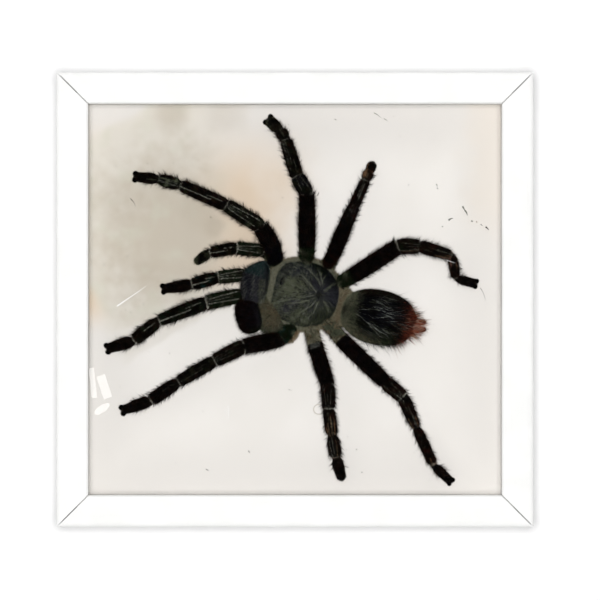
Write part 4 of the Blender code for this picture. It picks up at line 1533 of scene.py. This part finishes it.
# Loose bits on the board, each a bent line of X and Y with its width and colour
DEBRIS = (
    (((-52.6, 32.3), (-52.0, 31.6), (-51.3, 30.9), (-51.0, 29.6)), 0.22, "black"),
    (((53.5, 29.8), (54.0, 28.9), (54.3, 28.2)), 0.55, "grey"),
    (((54.3, 28.5), (54.9, 27.6), (55.0, 26.8)), 0.55, "grey"),
    (((49.0, 25.3), (49.7, 25.8), (50.5, 26.0)), 0.60, "grey"),
    (((56.3, 25.2), (56.8, 24.8)), 0.60, "grey"),
    (((57.9, 24.9), (58.2, 24.6)), 0.50, "beige"),
    (((59.3, 24.0), (59.9, 23.6)), 0.32, "brown"),
    (((60.9, 23.2), (61.4, 22.8), (61.9, 22.2)), 0.55, "brown"),
    (((46.9, 23.4), (47.4, 23.1)), 0.30, "sage"),
    (((45.1, 36.9), (45.5, 36.2)), 0.34, "sage"),
    (((25.2, 59.6), (26.4, 59.0), (27.4, 58.0)), 0.24, "sage"),
    (((28.4, 57.8), (29.6, 57.0)), 0.22, "sage"),
    (((12.6, 57.6), (13.4, 57.3)), 0.24, "sage"),
    (((7.2, 33.2), (7.7, 34.4)), 0.30, "brown"),
    (((-14.9, -48.3), (-14.4, -49.0)), 0.32, "brown"),
    (((-28.4, -54.2), (-27.6, -54.7)), 0.30, "brown"),
    (((59.2, 3.7), (60.1, 2.3), (60.6, 0.8), (60.8, -0.4)), 0.13, "brown"),
    (((45.3, 35.6), (45.8, 35.3)), 0.30, "brown"),
    (((36.2, 36.7), (36.5, 36.4)), 0.26, "brown"),
    (((-2.0, -28.7), (-1.6, -29.0)), 0.26, "brown"),
    (((-4.1, 32.6), (-3.8, 32.4)), 0.30, "brown"),
    (((-27.1, 26.4), (-26.7, 26.1)), 0.34, "brown"),
    (((-29.6, -35.7), (-29.2, -36.0)), 0.24, "olive"),
    (((19.5, -47.8), (19.9, -48.1)), 0.30, "olive"),
    (((21.2, -55.1), (21.6, -55.4)), 0.30, "olive"),
    (((-40.2, -17.1), (-39.9, -17.3)), 0.26, "olive"),
    (((2.9, 41.2), (3.3, 40.9)), 0.22, "olive"),
)
SPECKS = 110
# Scratches on the pane: bent lines with their width
SCRATCHES = (
    (((-56.4, -2.1), (-53.9, -0.4), (-51.6, 1.2), (-49.4, 2.6), (-47.2, 4.3)), 0.32),
    (((-21.4, -33.6), (-20.9, -35.4), (-21.3, -38.2)), 0.20),
    (((-21.9, -34.8), (-21.7, -37.4)), 0.12),
    (((48.2, 12.4), (50.9, 11.5)), 0.12),
)
DROP = (7.5, -35.1)
DROP_RADIUS = 1.7


def ribbon(hairs, line, width, colour, height, places=9):
    """A flat strip along a bent line, at a height in the frame."""
    line = np.array(line)
    share = np.linspace(0, len(line) - 1, places)
    path = np.stack([np.interp(share, np.arange(len(line)), line[:, k]) for k in (0, 1)], axis=1)
    path[1:-1] = (path[:-2] + 2 * path[1:-1] + path[2:]) / 4
    path = np.concatenate([path, np.full((places, 1), height)], axis=1)[None]
    way = unit(path[0, -1] - path[0, 0])
    hairs.add_paths(path, np.array([[-way[1], way[0], 0.0]]), width, [colour])


def build_debris():
    hairs = Hairs(77)
    rng = hairs.rng
    for line, width, colour in DEBRIS:
        ribbon(hairs, line, width, colour, BOARD_TOP + 0.06)
    for _ in range(SPECKS):
        x, y = rng.uniform(-63, 63), rng.uniform(-60, 60)
        turn, length = rng.uniform(0, math.pi), rng.uniform(0.12, 0.4)
        end = (x + length * math.cos(turn), y + length * math.sin(turn))
        colour = rng.choice(["sage", "brown", "beige", "olive"], p=[0.25, 0.2, 0.2, 0.35])
        ribbon(hairs, ((x, y), end), rng.uniform(0.1, 0.24), colour, BOARD_TOP + 0.05, places=3)
    hairs.build("debris")


def build_pane_marks():
    """Scratches on the pane's face, and the edge of a dried drop on the board."""
    hairs = Hairs(78)
    for line, width in SCRATCHES:
        ribbon(hairs, line, width, "scratch", PANE_TOP + 0.02)
    hairs.build("pane_scratches")
    turns = np.linspace(0, 2 * math.pi, 40)
    middle = np.array([*DROP, BOARD_TOP + 0.04])
    outward = np.stack([np.cos(turns), np.sin(turns), np.zeros(40)], axis=1)
    points = np.concatenate([middle + outward * (DROP_RADIUS - 0.25), middle + outward * DROP_RADIUS])
    faces = [(i, i + 1, 41 + i, 40 + i) for i in range(39)]
    mesh_object("drop_mark", points, faces, [FUR_MATERIALS["drop"]])


# ---------------------------------------------------------------- room and camera

PANEL_VIEW_WIDTH = 189.9     # width that the picture takes in at the lip, in millimetres
CAMERA_HEIGHT = 2500.0       # above the lip
CAMERA_OFFSET = (1.58, -0.16)
SENSOR = 36.0


def build_camera():
    data = bpy.data.cameras.new("camera")
    data.sensor_width = SENSOR
    data.lens = SENSOR * CAMERA_HEIGHT / PANEL_VIEW_WIDTH
    data.clip_end = 20.0
    camera = bpy.data.objects.new("camera", data)
    camera.location = Vector((*CAMERA_OFFSET, LIP_TOP + CAMERA_HEIGHT)) * MM
    bpy.context.scene.collection.objects.link(camera)
    bpy.context.scene.camera = camera


FLOOR_HALF = 3.0         # metres
FLOOR_HEIGHT = -0.0005   # a little under the frame's back, in metres


def build_floor():
    half, down = FLOOR_HALF, FLOOR_HEIGHT
    mesh = bpy.data.meshes.new("floor")
    mesh.from_pydata([(-half, -half, down), (half, -half, down), (half, half, down),
                      (-half, half, down)], [], [(0, 1, 2, 3)])
    floor = bpy.data.objects.new("floor", mesh)
    bpy.context.scene.collection.objects.link(floor)
    made, shader, _ = new_material("floor")
    shader.inputs["Base Color"].default_value = (0.93, 0.93, 0.93, 1.0)
    shader.inputs["Roughness"].default_value = 0.9
    mesh.materials.append(made)


def build_world():
    """Bright low down all round, dimmer above, and dark straight overhead, so that the pane
    doesn't mirror a white ceiling over the spider."""
    world = bpy.data.worlds.new("studio")
    bpy.context.scene.world = world
    world.use_nodes = True
    tree = world.node_tree
    background = tree.nodes["Background"]
    coords = tree.nodes.new("ShaderNodeTexCoord")
    split = tree.nodes.new("ShaderNodeSeparateXYZ")
    tree.links.new(coords.outputs["Generated"], split.inputs[0])
    sky = tree.nodes.new("ShaderNodeValToRGB")
    sky.color_ramp.interpolation = "EASE"
    stops = sky.color_ramp.elements
    while len(stops) < len(SKY):
        stops.new(0.5)
    for stop, (height, level) in zip(stops, SKY):
        stop.position = height
        stop.color = (level, level, level, 1.0)
    tree.links.new(split.outputs["Z"], sky.inputs["Fac"])
    tree.links.new(sky.outputs["Color"], background.inputs["Color"])
    background.inputs["Strength"].default_value = 1.0


# Brightness of the sky by the sine of the height above the horizon
SKY = ((0.0, 0.95), (0.3, 0.6), (0.5, 0.2), (0.93, 0.08), (0.985, 0.0))
OVERHEAD_POWER = 33.0
OVERHEAD_SIZE = 350.0
OVERHEAD_HEIGHT = 1900.0
KEY_POWER = 3.0

# The window's reflection in the pane: for each of its lights the place on the pane, its
# width and length there, how far it is turned, its share of the brightness and its shape
WINDOW_HEIGHT = 1000.0
WINDOW_LIGHTS = (
    ((-64.1, -26.4), (1.7, 9.6), 6.0, 1.0, "RECTANGLE"),
    ((-60.5, -27.6), (2.8, 7.6), 18.0, 1.0, "RECTANGLE"),
    ((-61.2, -34.7), (2.4, 5.6), -56.0, 0.8, "ELLIPSE"),
)
WINDOW_RADIANCE = 3.0


def area_light(name, place_mm, size_mm, power, target=(0.0, 0.0, 0.0)):
    data = bpy.data.lights.new(name, "AREA")
    data.shape = "RECTANGLE"
    data.size = size_mm[0] * MM
    data.size_y = size_mm[1] * MM
    data.energy = power
    lamp = bpy.data.objects.new(name, data)
    lamp.location = Vector(place_mm) * MM
    lamp.rotation_euler = (lamp.location - Vector(target) * MM).to_track_quat("Z", "Y").to_euler()
    lamp.visible_camera = False
    bpy.context.scene.collection.objects.link(lamp)
    return lamp


def build_lights():
    overhead = area_light("overhead", (*CAMERA_OFFSET, OVERHEAD_HEIGHT),
                          (OVERHEAD_SIZE, OVERHEAD_SIZE), OVERHEAD_POWER)
    key = area_light("key", (-1100, 900, 1300), (900, 900), KEY_POWER)
    for lamp in (overhead, key):
        lamp.visible_glossy = False
        lamp.visible_transmission = False
    for number, (spot, size, turn, share, shape) in enumerate(WINDOW_LIGHTS):
        spread = WINDOW_HEIGHT / (CAMERA_HEIGHT + LIP_TOP - PANE_TOP)
        x = spot[0] + (spot[0] - CAMERA_OFFSET[0]) * spread
        y = spot[1] + (spot[1] - CAMERA_OFFSET[1]) * spread
        wide, long = size[0] * (1 + spread), size[1] * (1 + spread)
        power = WINDOW_RADIANCE * share * math.pi * wide * long * MM * MM
        pane = area_light(f"window_{number}", (x, y, PANE_TOP + WINDOW_HEIGHT), (wide, long), power)
        pane.rotation_euler = (0.0, 0.0, math.radians(turn))
        pane.data.shape = shape


def build_view_settings():
    scene = bpy.context.scene
    scene.view_settings.view_transform = "Standard"
    scene.view_settings.look = "None"


FUR_MATERIALS = {name: fur_material(name) for name in FUR}
SKINS = {name: skin_material(name, *look) for name, look in SKIN_LOOKS.items()}

build_camera()
build_world()
build_lights()
build_floor()
build_view_settings()
build_frame()
build_legs()
build_cephalothorax()
build_chelicerae()
build_abdomen()
build_spinnerets()
build_debris()
build_pane_marks()

bpy.context.view_layer.update()
